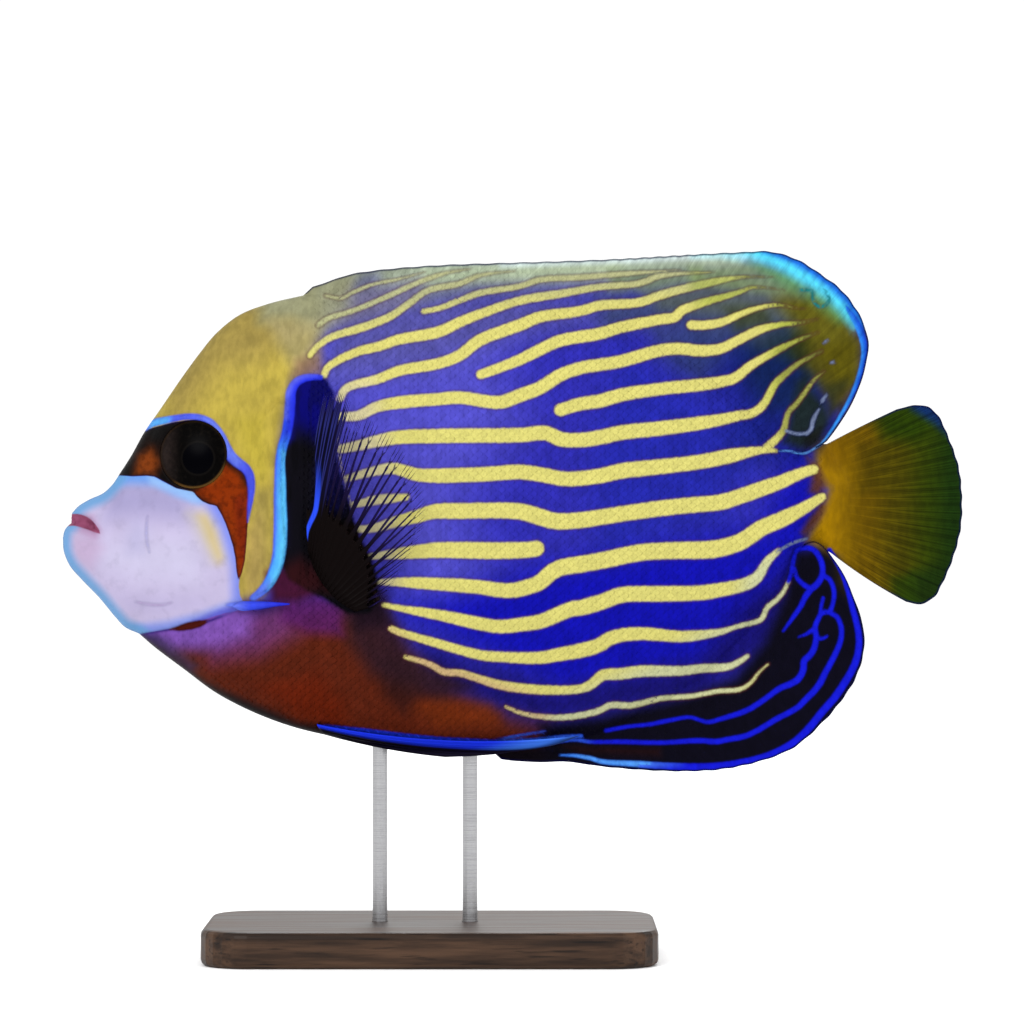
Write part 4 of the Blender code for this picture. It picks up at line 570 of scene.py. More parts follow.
# Soft washes of colour, laid one over the other: sRGB, softness in pixels, strength, loop
WASHES = [  # under the stripes
    ((86, 82, 200), 50, 0.9, [(300, 330), (500, 330), (520, 420), (470, 500), (480, 580), (440, 600),
        (330, 540)]),
    ((90, 88, 160), 26, 0.8, [(340, 290), (520, 290), (600, 300), (600, 325), (500, 345), (420, 370),
        (330, 380)]),
    ((30, 38, 166), 34, 0.7, [(620, 350), (760, 420), (720, 520), (600, 560), (590, 460)]),
    ((14, 14, 174), 26, 0.95, [(410, 610), (540, 570), (760, 530), (800, 440), (830, 520), (760, 620),
        (700, 670), (560, 690), (470, 640)]),
    ((18, 12, 100), 20, 0.8, [(420, 640), (470, 660), (560, 690), (700, 660), (745, 600), (800, 560),
        (780, 640), (700, 700), (540, 720), (440, 690)]),
    ((20, 30, 124), 30, 0.9, [(690, 330), (800, 330), (830, 380), (800, 460), (730, 460), (730, 400),
        (680, 360)]),
    ((52, 66, 108), 18, 0.7, [(650, 325), (730, 315), (735, 345), (700, 385), (655, 355)]),
    ((14, 34, 80), 18, 0.85, [(735, 340), (775, 325), (812, 345), (826, 380), (800, 412), (768, 412),
        (745, 380)]),
    ((30, 48, 52), 10, 0.85, [(742, 308), (790, 318), (815, 335), (812, 354), (790, 362), (760, 348),
        (735, 330)]),
    ((46, 50, 16), 8, 0.8, [(795, 335), (815, 335), (815, 365), (798, 368), (790, 350)]),
    ((60, 72, 104), 16, 0.8, [(600, 296), (740, 290), (800, 320), (760, 345), (680, 325), (600, 330)]),
    ((92, 102, 84), 10, 0.7, [(640, 290), (720, 276), (790, 290), (800, 318), (740, 318), (660, 310)]),
    ((62, 70, 46), 8, 0.8, [(725, 308), (765, 305), (772, 324), (735, 330)]),
    ((130, 138, 134), 14, 0.85, [(300, 290), (430, 268), (620, 262), (620, 288), (480, 292), (390, 308),
        (300, 330)]),
    ((188, 204, 162), 9, 0.85, [(380, 262), (620, 256), (740, 250), (750, 268), (640, 276), (480, 282),
        (380, 288)]),
    ((124, 142, 104), 8, 0.85, [(610, 270), (700, 267), (704, 282), (650, 291), (610, 291)]),
    ((128, 148, 92), 8, 0.8, [(690, 268), (760, 262), (800, 280), (800, 300), (740, 290), (690, 284)]),
    ((214, 232, 228), 4, 0.9, [(500, 240), (740, 240), (745, 256), (700, 259), (600, 264.5), (500, 268)]),
    ((98, 92, 14), 14, 0.95, [(775, 300), (810, 290), (845, 305), (862, 340), (858, 385), (832, 390),
        (812, 350)]),
    ((86, 78, 8), 10, 0.8, [(812, 345), (862, 340), (859, 392), (842, 406), (826, 396), (806, 368)]),
    ((26, 38, 36), 8, 0.95, [(797, 382), (806, 374), (813, 392), (826, 404), (832, 424), (822, 440),
        (800, 450), (784, 442), (790, 416)]),
    ((46, 50, 26), 7, 0.85, [(826, 386), (848, 380), (843, 408), (829, 416)]),
    ((20, 22, 20), 6, 0.8, [(804, 432), (824, 427), (820, 445), (804, 450)]),
    ((20, 26, 110), 6, 0.85, [(846, 396), (858, 384), (846, 418), (824, 446), (816, 450), (828, 424)]),
    ((178, 238, 244), 6, 0.9, [(692, 236), (776, 236), (776, 257), (745, 259), (692, 257)]),
    ((142, 218, 238), 9, 0.9, [(724, 236), (770, 236), (780, 264), (752, 262), (728, 256)]),
    ((92, 150, 96), 9, 0.8, [(750, 262), (790, 270), (830, 292), (850, 322), (838, 322), (815, 304),
        (780, 284)]),
    ((84, 214, 246), 7, 1.0, [(742, 236), (800, 240), (855, 285), (872, 328), (852, 328), (840, 313),
        (828, 301), (813, 290), (795, 279), (776, 268), (758, 260), (746, 252)]),
    ((26, 100, 214), 3.5, 0.95, [(756, 236), (800, 240), (855, 280), (875, 328), (862, 330), (856, 318.5),
        (845, 303.5), (830, 288.5), (810, 274), (790, 262.5), (772, 255.5), (762, 252.5)]),
    ((186, 166, 70), 12, 1.0, [(372, 240), (345, 290), (322, 330), (312, 362), (296, 384), (290, 420),
        (283, 460), (284, 520), (282, 560), (266, 592), (240, 604), (215, 520), (150, 440), (90, 440),
        (60, 200), (340, 200)]),
    ((158, 138, 74), 24, 0.85, [(170, 440), (205, 395), (226, 370), (262, 360), (310, 330), (300, 270),
        (160, 280)]),
    ((190, 172, 62), 12, 0.8, [(238, 420), (268, 416), (272, 470), (262, 480), (246, 456)]),
    ((160, 142, 76), 9, 0.8, [(258, 490), (274, 490), (274, 560), (262, 588), (250, 580)]),
    ((136, 144, 126), 10, 0.9, [(308, 268), (345, 254), (400, 250), (424, 258), (404, 272), (350, 284),
        (318, 296)]),
    ((112, 106, 148), 12, 0.8, [(324, 296), (352, 290), (420, 280), (424, 298), (380, 316), (334, 332),
        (322, 322)]),
    ((150, 152, 122), 14, 0.9, [(255, 285), (350, 270), (350, 310), (322, 336), (292, 322), (262, 322)]),
    ((166, 156, 116), 12, 0.7, [(270, 322), (320, 322), (318, 362), (296, 370), (280, 345)]),
    ((140, 108, 82), 8, 0.8, [(298, 362), (322, 352), (326, 376), (306, 380), (294, 378)]),
    ((176, 150, 86), 12, 0.7, [(250, 530), (262, 520), (268, 560), (262, 596), (246, 596)]),
    ((94, 34, 16), 20, 1.0, [(140, 640), (200, 640), (280, 610), (350, 605), (385, 620), (430, 680),
        (500, 712), (545, 725), (540, 760), (420, 770), (300, 760), (180, 700)]),
    ((106, 30, 6), 14, 0.8, [(262, 686), (320, 672), (345, 700), (345, 728), (300, 716)]),
    ((104, 40, 16), 12, 0.9, [(410, 706), (440, 700), (500, 712), (500, 726), (440, 728)]),
    ((120, 46, 14), 10, 0.8, [(415, 702), (440, 694), (490, 704), (500, 722), (440, 724)]),
    ((54, 22, 20), 10, 0.8, [(380, 650), (410, 656), (424, 690), (405, 712), (385, 694)]),
    ((46, 24, 34), 14, 0.9, [(345, 612), (385, 600), (410, 650), (470, 684), (440, 696), (400, 684),
        (372, 672), (350, 640)]),
    ((26, 12, 24), 9, 0.85, [(350, 596), (384, 590), (392, 622), (360, 628)]),
    ((110, 54, 118), 18, 0.85, [(200, 640), (235, 612), (290, 604), (300, 634), (262, 654), (215, 662)]),
    ((130, 84, 180), 12, 0.95, [(136, 624), (230, 606), (256, 604), (252, 634), (222, 646), (170, 650)]),
    ((86, 28, 98), 9, 0.85, [(284, 600), (322, 594), (345, 604), (345, 634), (310, 632), (284, 620)]),
    ((68, 15, 34), 7, 0.9, [(270, 572), (300, 562), (336, 575), (332, 590), (300, 600), (276, 600)]),
    ((60, 48, 90), 8, 0.7, [(130, 630), (160, 634), (200, 664), (190, 680), (150, 650)]),
    ((8, 4, 12), 8, 0.95, [(144, 639), (206, 683), (298, 723), (400, 739), (500, 746), (560, 745),
        (600, 750), (600, 780), (300, 780), (130, 680)]),
    ((8, 6, 18), 10, 0.97, [(540, 724), (600, 717), (690, 696), (735, 678), (765, 642), (785, 592),
        (795, 552), (830, 545), (890, 620), (880, 720), (760, 800), (560, 790)]),
    ((42, 13, 12), 7, 0.7, [(562, 745), (600, 746), (660, 748), (660, 756), (580, 753)]),
    ((156, 116, 0), 8, 1.0, [(816, 456), (834, 436), (897, 396), (990, 370), (990, 660), (906, 612),
        (842, 566), (838, 557), (806, 541), (810, 530), (822, 510), (827, 490), (819, 478), (815, 466)]),
    ((122, 88, 1), 10, 0.9, [(816, 450), (845, 425), (860, 425), (860, 456), (834, 470), (824, 466)]),
    ((98, 52, 14), 5, 0.8, [(806, 456), (818, 468), (824, 485), (818, 496), (808, 492), (811, 476)]),
    ((98, 52, 14), 5, 0.8, [(808, 518), (820, 503), (825, 506), (818, 520), (804, 536), (800, 532)]),
    ((166, 124, 2), 8, 0.7, [(826, 505), (850, 505), (850, 545), (822, 538)]),
    ((108, 82, 2), 20, 1.0, [(846, 400), (990, 370), (990, 660), (906, 630), (846, 580)]),
    ((76, 62, 2), 10, 0.8, [(860, 446), (892, 440), (892, 488), (860, 492)]),
    ((72, 66, 3), 22, 1.0, [(882, 380), (990, 370), (990, 660), (882, 620)]),
    ((44, 58, 3), 18, 1.0, [(914, 380), (990, 380), (990, 640), (914, 610)]),
    ((22, 46, 8), 16, 1.0, [(940, 380), (990, 380), (990, 640), (940, 610)]),
    ((22, 44, 8), 10, 0.8, [(912, 574), (962, 556), (950, 625), (900, 625)]),
    ((34, 56, 4), 8, 0.8, [(892, 578), (916, 572), (916, 625), (892, 625)]),
    ((34, 56, 2), 12, 0.9, [(874, 420), (886, 398), (925, 385), (942, 420), (916, 442), (884, 438)]),
    ((12, 42, 104), 6, 0.9, [(905, 392), (930, 392), (944, 418), (948, 436), (934, 424), (912, 410)]),
]

# The same over the stripes, the muzzle, the mask and the dark patch behind the gill cover
STRIPE_WASHES = [
    ((222, 212, 168), 16, 0.9, [(330, 380), (375, 380), (395, 480), (400, 590), (350, 600)]),
    ((178, 180, 136), 20, 0.9, [(300, 240), (700, 240), (700, 290), (520, 296), (400, 312), (300, 340)]),
    ((178, 186, 74), 16, 0.9, [(700, 285), (800, 290), (830, 330), (820, 380), (770, 400), (770, 300),
        (700, 310)]),
    ((150, 152, 72), 8, 0.9, [(778, 350), (830, 330), (840, 380), (800, 440), (780, 440)]),
    ((108, 114, 52), 10, 0.95, [(738, 268), (770, 272), (790, 286), (812, 296), (832, 320), (834, 372),
        (812, 372), (802, 340), (792, 312), (772, 296), (745, 284)]),
    ((160, 170, 92), 9, 0.7, [(690, 270), (740, 272), (745, 296), (690, 300)]),
    ((208, 212, 168), 16, 0.9, [(744, 560), (800, 540), (800, 620), (740, 700), (640, 712), (560, 735),
        (500, 720), (560, 700), (660, 655), (735, 612)]),
    ((186, 188, 140), 14, 0.9, [(300, 280), (420, 262), (430, 292), (340, 322), (300, 350)]),
    ((206, 170, 130), 10, 0.8, [(385, 620), (410, 640), (470, 670), (560, 705), (540, 720), (420, 670)]),
]
MUZZLE_WASHES = [
    ((168, 161, 204), 18, 0.95, [(100, 480), (170, 476), (195, 500), (192, 520), (160, 518), (110, 518)]),
    ((206, 200, 230), 20, 0.9, [(100, 548), (150, 538), (200, 538), (208, 560), (200, 582), (140, 580),
        (110, 566)]),
    ((188, 184, 222), 12, 0.7, [(130, 536), (140, 520), (150, 530), (146, 552), (132, 552)]),
    ((194, 184, 222), 14, 0.8, [(120, 596), (205, 596), (212, 606), (170, 616), (132, 612)]),
    ((196, 172, 206), 10, 0.8, [(74, 536), (98, 532), (106, 548), (94, 568), (74, 558)]),
    ((172, 128, 166), 5, 0.6, [(76, 511), (96, 516), (104, 531), (98, 538), (76, 530)]),
    ((204, 194, 176), 12, 0.75, [(192, 514), (212, 512), (222, 530), (228, 556), (216, 560), (206, 540)]),
    ((214, 190, 118), 9, 0.75, [(203, 516), (211, 516), (219, 532), (226, 556), (222, 562), (212, 540)]),
    ((108, 160, 240), 7, 0.95, [(90, 466), (158, 466), (180, 480), (200, 487), (212, 500), (203, 503),
        (180, 495), (158, 485), (135, 484), (100, 486)]),
    ((158, 198, 248), 5, 0.8, [(150, 474), (176, 484), (198, 490), (206, 502), (196, 502), (176, 493),
        (154, 484)]),
    ((130, 144, 238), 8, 1.0, [(206, 494), (226, 500), (246, 556), (252, 604), (236, 604), (235, 566),
        (224, 528), (212, 508)]),
    ((128, 148, 236), 6, 0.9, [(130, 626), (170, 621), (205, 612), (236, 600), (252, 600), (244, 612),
        (205, 624), (150, 638)]),
    ((92, 88, 210), 4, 0.8, [(196, 620), (225, 608), (244, 602), (246, 610), (225, 616), (196, 625)]),
]
MASK_WASHES = [
    ((26, 12, 7), 6, 0.9, [(130, 448), (150, 438), (168, 446), (166, 474), (130, 474)]),
    ((124, 56, 16), 7, 1.0, [(140, 456), (154, 448), (163, 462), (158, 476), (136, 476)]),
    ((134, 46, 4), 6, 1.0, [(196, 494), (210, 480), (226, 462), (244, 474), (258, 500), (258, 560),
        (240, 600), (236, 545), (222, 508)]),
    ((112, 30, 10), 5, 0.7, [(238, 500), (250, 490), (252, 545), (244, 560)]),
    ((134, 84, 20), 4, 0.7, [(212, 474), (222, 466), (226, 474), (216, 484)]),
]
PATCH_WASHES = [
    ((3, 2, 108), 16, 1.0, [(280, 360), (345, 360), (345, 425), (318, 440), (300, 430), (284, 425)]),
    ((8, 6, 168), 6, 0.85, [(286, 400), (294, 404), (296, 440), (284, 452)]),
    ((22, 20, 76), 7, 0.95, [(326, 440), (346, 436), (350, 500), (346, 514), (318, 518), (318, 470)]),
    ((10, 9, 54), 8, 0.7, [(284, 505), (290, 505), (290, 545), (284, 545)]),
    ((24, 13, 10), 8, 1.0, [(330, 530), (362, 520), (384, 570), (382, 606), (330, 590)]),
    ((50, 14, 18), 10, 0.9, [(284, 566), (304, 556), (330, 572), (338, 590), (310, 592), (290, 590)]),
]
CHEEK_GROOVE = [(252, 478), (251.5, 500), (251, 530), (249, 556), (243, 580), (241, 596)]
GILL_FOLD = [(143, 634), (170, 629), (190, 625), (205, 621), (222, 614), (240, 610), (262, 609)]
GILL_SLIT = [(176, 628), (190, 626.5), (205, 622.5)]
FOLDS = ((CHEEK_GROOVE, 0.35, 0.8), (GILL_FOLD, 0.6, 1.0), (GILL_SLIT, 0.7, 0.9))  # with depth and reach, mm
FOLD_LIMIT = 4.0
FOLD_ROOM = (0.5, 3.0)  # half widths over which they come in at the silhouette


# Lines and distances in the side view


def curve(points, step, closed=False):
    """A smooth line through the points, with a point about every step."""
    pts = np.array(points, float)
    ends = (pts[-1], pts[:2]) if closed else (2 * pts[0] - pts[1], 2 * pts[-1] - pts[-2])
    padded = np.vstack([ends[0], pts, ends[1]])
    pieces = []
    for a, b, c, d in zip(padded, padded[1:], padded[2:], padded[3:]):
        knots = np.cumsum([0.0] + [max(math.dist(p, q), 1e-6) ** 0.5 for p, q in ((a, b), (b, c), (c, d))])
        t = np.linspace(knots[1], knots[2], CURVE_CUTS, endpoint=False)[:, None]

        def between(p, q, i, j):
            return ((knots[j] - t) * p + (t - knots[i]) * q) / (knots[j] - knots[i])

        ab, bc, cd = between(a, b, 0, 1), between(b, c, 1, 2), between(c, d, 2, 3)
        pieces.append(between(between(ab, bc, 0, 2), between(bc, cd, 1, 3), 1, 2))
    line = np.vstack(pieces + [pts[:1] if closed else pts[-1:]])
    count = max(2, round(lengths(line)[-1] / step) + 1)
    even = along(line, np.linspace(0.0, 1.0, count))
    return even[:-1] if closed else even


def lengths(line):
    """Distance along a line to each of its points."""
    return np.r_[0.0, np.cumsum(np.linalg.norm(np.diff(line, axis=0), axis=1))]


def along(line, shares):
    """Points at shares of a line's length."""
    reach = lengths(line)
    at = np.asarray(shares) * reach[-1]
    return np.c_[np.interp(at, reach, line[:, 0]), np.interp(at, reach, line[:, 1])]


def share_of(line, point):
    """The share of a line's length at which it passes nearest to a point."""
    nearest = np.argmin(np.linalg.norm(line - point, axis=1))
    return lengths(line)[nearest] / lengths(line)[-1]


def shifted(line, distance):
    """The line moved sideways, to the left of its direction where distance is positive."""
    run = np.gradient(line, axis=0)
    run /= np.linalg.norm(run, axis=1)[:, None]
    return line + distance * np.c_[-run[:, 1], run[:, 0]]


def grown(loop, distance):
    """The closed loop moved outwards, or inwards where distance is negative."""
    after, before = np.roll(loop, -1, axis=0), np.roll(loop, 1, axis=0)
    run = after - before
    run /= np.linalg.norm(run, axis=1)[:, None]
    turn = np.sign(np.sum(loop[:, 0] * after[:, 1] - after[:, 0] * loop[:, 1]))
    return loop + distance * turn * np.c_[run[:, 1], -run[:, 0]]


def distance_to(points, line):
    """Distance from each point to a line."""
    best = np.full(len(points), np.inf)
    for a, b in zip(line[:-1], line[1:]):
        run = b - a
        share = np.clip(((points - a) @ run) / max(run @ run, 1e-12), 0.0, 1.0)
        best = np.minimum(best, np.linalg.norm(points - a - share[:, None] * run, axis=1))
    return best


def signed_distance(points, loop):
    """Distance from a closed loop, negative inside it."""
    x, z = points[:, 0], points[:, 1]
    inside = np.zeros(len(points), bool)
    for (x0, z0), (x1, z1) in zip(loop, np.roll(loop, -1, axis=0)):
        if z0 != z1:
            inside ^= ((z0 > z) != (z1 > z)) & (x < (x1 - x0) * (z - z0) / (z1 - z0) + x0)
    apart = distance_to(points, np.vstack([loop, loop[:1]]))
    return np.where(inside, -apart, apart)


def place(pixels):
    """Where pixels of the photograph lie in the side view."""
    pixels = np.asarray(pixels, float)
    return np.stack([pixels[..., 0] - PHOTO_MIDDLE, PHOTO_FLOOR - pixels[..., 1]], -1) / PIXELS_PER_MM


def nearest(points, line, reach):
    """Distance to a line and the share of its length there, for the points within reach of its box."""
    low, high = line.min(axis=0) - reach, line.max(axis=0) + reach
    close = np.flatnonzero(np.all((points > low) & (points < high), axis=1))
    best = np.full(len(close), np.inf)
    share = np.zeros(len(close))
    step = lengths(line)
    for i, (a, b) in enumerate(zip(line[:-1], line[1:])):
        run = b - a
        t = np.clip(((points[close] - a) @ run) / max(run @ run, 1e-12), 0.0, 1.0)
        apart = np.linalg.norm(points[close] - a - t[:, None] * run, axis=1)
        nearer = apart < best
        best[nearer] = apart[nearer]
        share[nearer] = ((step[i] + t * (step[i + 1] - step[i])) / step[-1])[nearer]
    return close, best, share


def edge_distance(points, line, widths):
    """Distance from the edge of a line drawn with those widths, negative on the line."""
    found = np.full(len(points), FAR)
    close, apart, share = nearest(points, line, FAR)
    half = np.interp(share, np.linspace(0.0, 1.0, len(widths)), widths) / 2 / PIXELS_PER_MM
    found[close] = np.minimum(apart - half, FAR)
    return found


def circle(centre, radius, count):
    """Points round a circle."""
    angle = np.arange(count) * 2 * math.pi / count
    return np.c_[centre[0] + radius * np.cos(angle), centre[1] + radius * np.sin(angle)]


def smoothstep(low, high, value):
    t = np.clip((value - low) / (high - low), 0.0, 1.0)
    return t * t * (3.0 - 2.0 * t)


def rounded(share):
    """A quarter circle, from 0 to 1."""
    return np.sqrt(1.0 - np.square(1.0 - np.clip(share, 0.0, 1.0)))


def size_at(table, x):
    """A size along the fish, smooth between the rows of its table."""
    line = curve(table, FINE)
    return np.interp(x, line[:, 0], line[:, 1])


def joined(*lines):
    """One line, in order of x, through several outlines."""
    line = np.vstack([curve(points, FINE) for points in lines])
    return line[np.argsort(line[:, 0], kind="stable")]


TOP_LINE = joined(LOWER_FRONT[::-1], UPPER_FRONT, FOREHEAD, BACK, STALK_TOP, BODY_END_TOP)
BOTTOM_LINE = joined(CHIN, BELLY, ANAL_BASE, STALK_BOTTOM, BODY_END_BOTTOM)
COVER_LOOP = curve(COVER, COVER_STEP, closed=True)
INNER_LIP_LOOP = curve(INNER_LIPS, LIP_STEP, closed=True)
SEAM_LINE = curve(LIP_SEAM, LIP_STEP)


# The body's surface, as a half width at each place of the side view


def body_half_width(points):
    """Half width of the bare body, 0 outside it."""
    x, z = points[:, 0], points[:, 1]
    top = np.interp(x, TOP_LINE[:, 0], TOP_LINE[:, 1])
    bottom = np.interp(x, BOTTOM_LINE[:, 0], BOTTOM_LINE[:, 1])
    middle = bottom + WIDEST_HEIGHT * (top - bottom)
    up = np.clip((z - middle) / np.maximum(top - middle, 0.01), 0.0, 1.0)
    down = np.clip((middle - z) / np.maximum(middle - bottom, 0.01), 0.0, 1.0)
    crest = HEAD_CREST + (TRUNK_CREST - HEAD_CREST) * smoothstep(*TRUNK_START, x)
    above, below = 1.0 - up ** SECTION_FULLNESS[0], 1.0 - down ** SECTION_FULLNESS[1]
    profile = np.where(z > middle, above**crest, below**KEEL)
    return size_at(HALF_WIDTH, x) * profile


def fin_base_half_width(points):
    """Half width that the median fins' bases add inside the body."""
    x, z = points[:, 0], points[:, 1]
    depth = np.clip(np.interp(x, TOP_LINE[:, 0], TOP_LINE[:, 1]) - z, 0.0, None)
    height = np.clip(z - np.interp(x, BOTTOM_LINE[:, 0], BOTTOM_LINE[:, 1]), 0.0, None)
    dorsal = size_at(DORSAL_ROOT_HALF, x) * np.exp(-depth / ROOT_FADE)
    dorsal *= smoothstep(*DORSAL_BASE_REACH[:2], x) * (1.0 - smoothstep(*DORSAL_BASE_REACH[2:], x))
    anal = size_at(ANAL_ROOT_HALF, x) * np.exp(-height / ROOT_FADE)
    anal *= smoothstep(*ANAL_BASE_REACH[:2], x) * (1.0 - smoothstep(*ANAL_BASE_REACH[2:], x))
    return dorsal + anal + TAIL_ROOT_HALF * smoothstep(*TAIL_BASE_REACH, x)


def blended(first, second):
    """Two half widths run together."""
    return (first**BLEND + second**BLEND) ** (1.0 / BLEND)


def bare_half_width(points):
    """The body with the fins' bases, without the features of the head."""
    return blended(body_half_width(points), fin_base_half_width(points))


def eye_plane(points):
    """Half width of the flat disc on which the eye's rim lies."""
    x, z = EYE_CENTRE
    probes = np.array([(x + EYE_RADIUS, z), (x - EYE_RADIUS, z), (x, z + EYE_RADIUS), (x, z - EYE_RADIUS)])
    rear, front, high, low = bare_half_width(probes)
    along_x = (points[:, 0] - x) * (rear - front)
    along_z = (points[:, 1] - z) * (high - low)
    return (rear + front + high + low) / 4 + (along_x + along_z) / (2 * EYE_RADIUS)


def eye_bulge(points):
    """1 at the middle of the eye, 0 at its edge."""
    radius = np.linalg.norm(points - EYE_CENTRE, axis=1) / EYE_RADIUS
    return 1.0 - np.clip(radius, 0.0, 1.0) ** 2


def with_mouth(width, points):
    """The lips swell round the inner lips, which lie deeper and part at the seam."""
    inner = signed_distance(points, INNER_LIP_LOOP)
    from_corner = LIP_SEAM[-1][0] - points[:, 0]
    swell = LIP_SWELL * smoothstep(*LIP_RISE, inner) * (1.0 - smoothstep(*LIP_FALL, inner))
    swell *= smoothstep(*LIP_TO_CORNER, from_corner)
    dip = INNER_LIP_DEPTH * smoothstep(*DIP_REACH, -inner) * smoothstep(*DIP_TO_CORNER, from_corner)
    crease = LIP_CREASE * (1.0 - smoothstep(*CREASE_REACH, distance_to(points, SEAM_LINE)))
    crease *= smoothstep(*CREASE_TO_CORNER, from_corner)
    return width + smoothstep(*LIP_ROOM, width) * (swell - dip - crease)


def with_nostrils(width, points):
    """Each nostril is a pit with a raised lip."""
    for x, z, radius in NOSTRILS:
        apart = np.hypot(points[:, 0] - x, points[:, 1] - z)
        inside, top, foot = (share * radius for share in NOSTRIL_LIP_REACH)
        lip = smoothstep(inside, radius, apart) * (1.0 - smoothstep(top, foot, apart))
        pit = 1.0 - smoothstep(NOSTRIL_FLOOR * radius, radius, apart)
        width = width + NOSTRIL_LIP * lip - NOSTRIL_DEPTH * pit
    return width


# The skin's surface


def with_gill_cover(width, points):
    """The gill cover stands a little proud towards its rear edge and ends in a step over a groove."""
    outside = signed_distance(points, COVER_LOOP)
    behind = smoothstep(*COVER_LIFT_REACH, points[:, 0])
    raised = COVER_LIFT * (1.0 - smoothstep(*COVER_WALL, outside))
    fall, rise = (smoothstep(*wall, outside) for wall in GROOVE_WALLS)
    return width + behind * (raised - COVER_GROOVE * fall * (1.0 - rise))


def with_face_folds(width, points):
    """The groove at the rear of the cheek, and the fold under the jaw with its open slit."""
    for line, depth, reach in FOLDS:
        close, apart, _ = nearest(points, curve(place(line), FINE), FOLD_LIMIT)
        width[close] -= depth * np.exp(-np.square(apart / reach)) * smoothstep(*FOLD_ROOM, width[close])
    return width


def with_eye_rims(width, points):
    """A soft rim of skin laps the eye's edge; inside it the socket lies behind the eye."""
    beyond = np.linalg.norm(points - EYE_CENTRE, axis=1) - EYE_RADIUS
    plane = eye_plane(points)
    near = 1.0 - smoothstep(*EYE_SEAT_REACH, beyond)
    width = width + near * (plane + EYE_SEAT - width)
    width = width + RIM_HEIGHT * np.exp(-np.square((beyond - RIM_CREST) / RIM_SPREAD))
    socket = plane - SOCKET_DEPTH + SOCKET_RISE * smoothstep(*SOCKET_WALL, beyond)
    return np.where(beyond < 0.0, np.minimum(width, socket), width)


def skin_half_width(points):
    """Half width of the skin with the features of the head."""
    width = with_mouth(bare_half_width(points), points)
    width = with_nostrils(width, points)
    width = with_gill_cover(width, points)
    return with_eye_rims(with_face_folds(width, points), points)


class Fan:
    """A fin's grid in the side view: columns that follow its rays, and rows from its root to its margin."""

    def __init__(self, root, margin, guides, shares, bow, between, rows):
        margin_line = curve(margin, FINE)
        at_root = [share_of(root, start) for start, _ in guides]
        at_margin = [share_of(margin_line, end) for _, end in guides]
        ray = np.arange((len(shares) - 1) * between + 1) / between
        columns = np.interp(ray, np.arange(len(shares)), shares)
        start = along(root, columns)
        run = along(margin_line, np.interp(columns, at_root, at_margin)) - start
        length = np.linalg.norm(run, axis=1)
        midway = np.square(np.sin(math.pi * ray))
        reach = 1.0 - midway * np.minimum(NOTCH_DEPTH / length, NOTCH_MOST)
        bend = 4.0 * (bow[0] + (bow[1] - bow[0]) * columns) / length
        left = np.c_[-run[:, 1], run[:, 0]]
        shares_out = np.linspace(0.0, 1.0, rows)
        outs = [(row * reach)[:, None] for row in shares_out]
        plan = [start + run * out + left * bend[:, None] * out * (1.0 - out) for out in outs]
        self.columns = len(columns)
        self.plan = np.vstack(plan).astype(np.float32).astype(float)
        self.start = np.tile(start, (rows, 1))
        self.row = np.repeat(shares_out, self.columns)
        self.share = np.tile(columns, rows)
        self.ray = np.tile(ray, rows)
        self.faces = grid_faces(self.plan, rows, self.columns)

    def ridge(self, spines, width=RAY_WIDTH):
        """1 along the rays and 0 between them. Soft rays split in two and again on their way out."""
        soft = smoothstep(spines - 1.5, spines - 0.5, self.ray)
        apart = np.abs(self.ray - np.round(self.ray))
        for parting, start, end in FORKS:
            apart = np.abs(apart - parting * soft * smoothstep(start, end, self.row))
        return np.exp(-np.square(apart / (width * (1.0 - SOFT_SLIMMING * soft * self.row))))

    def edge_rounding(self, reach):
        """0 at the fan's free edges and 1 within."""
        first, last = self.plan[::self.columns], self.plan[self.columns - 1::self.columns]
        margin = self.plan[-self.columns:]
        apart = np.full(len(self.plan), reach)
        for line in (first, last, margin):
            close, found, _ = nearest(self.plan, line, reach)
            apart[close] = np.minimum(apart[close], found)
        return rounded(apart / reach)


def grid_faces(plan, rows, columns):
    """Two triangles to each cell of a grid, turned anticlockwise in the side view."""
    faces = []
    for row in range(rows - 1):
        for column in range(columns - 1):
            a = row * columns + column
            b, c, d = a + 1, a + 1 + columns, a + columns
            faces += [(a, b, c), (a, c, d)] if (row + column) % 2 else [(a, b, d), (b, c, d)]
    first, second, third = plan[list(faces[len(faces) // 2])]
    (ux, uz), (vx, vz) = second - first, third - first
    return faces if ux * vz > uz * vx else [tuple(reversed(face)) for face in faces]


def spine_and_ray_shares(root, soft_start, spines, rays):
    """Where spines and soft rays leave the base, as shares of its length."""
    split = share_of(root, soft_start)
    return np.r_[np.linspace(0.0, split, spines), np.linspace(split, 1.0, rays + 1)[1:]]


def median_fans():
    """The dorsal, anal and tail fin."""
    back = curve([DORSAL_GUIDES[0][0]] + BACK[1:], FINE)
    base = curve([ANAL_GUIDES[0][0]] + ANAL_BASE[1:], FINE)
    dorsal = spine_and_ray_shares(back, DORSAL_SOFT_START, DORSAL_SPINES, DORSAL_RAYS)
    anal = spine_and_ray_shares(base, ANAL_SOFT_START, ANAL_SPINES, ANAL_RAYS)
    stalk_end, tail = curve(TAIL_BASE, FINE), np.linspace(0.0, 1.0, TAIL_RAYS)
    return {
        "dorsal": Fan(back, DORSAL_MARGIN, DORSAL_GUIDES, dorsal, DORSAL_BOW, DORSAL_BETWEEN, DORSAL_ROWS),
        "anal": Fan(base, ANAL_MARGIN, ANAL_GUIDES, anal, ANAL_BOW, ANAL_BETWEEN, ANAL_ROWS),
        "tail": Fan(stalk_end, TAIL_MARGIN, TAIL_GUIDES, tail, TAIL_BOW, TAIL_BETWEEN, TAIL_ROWS),
    }


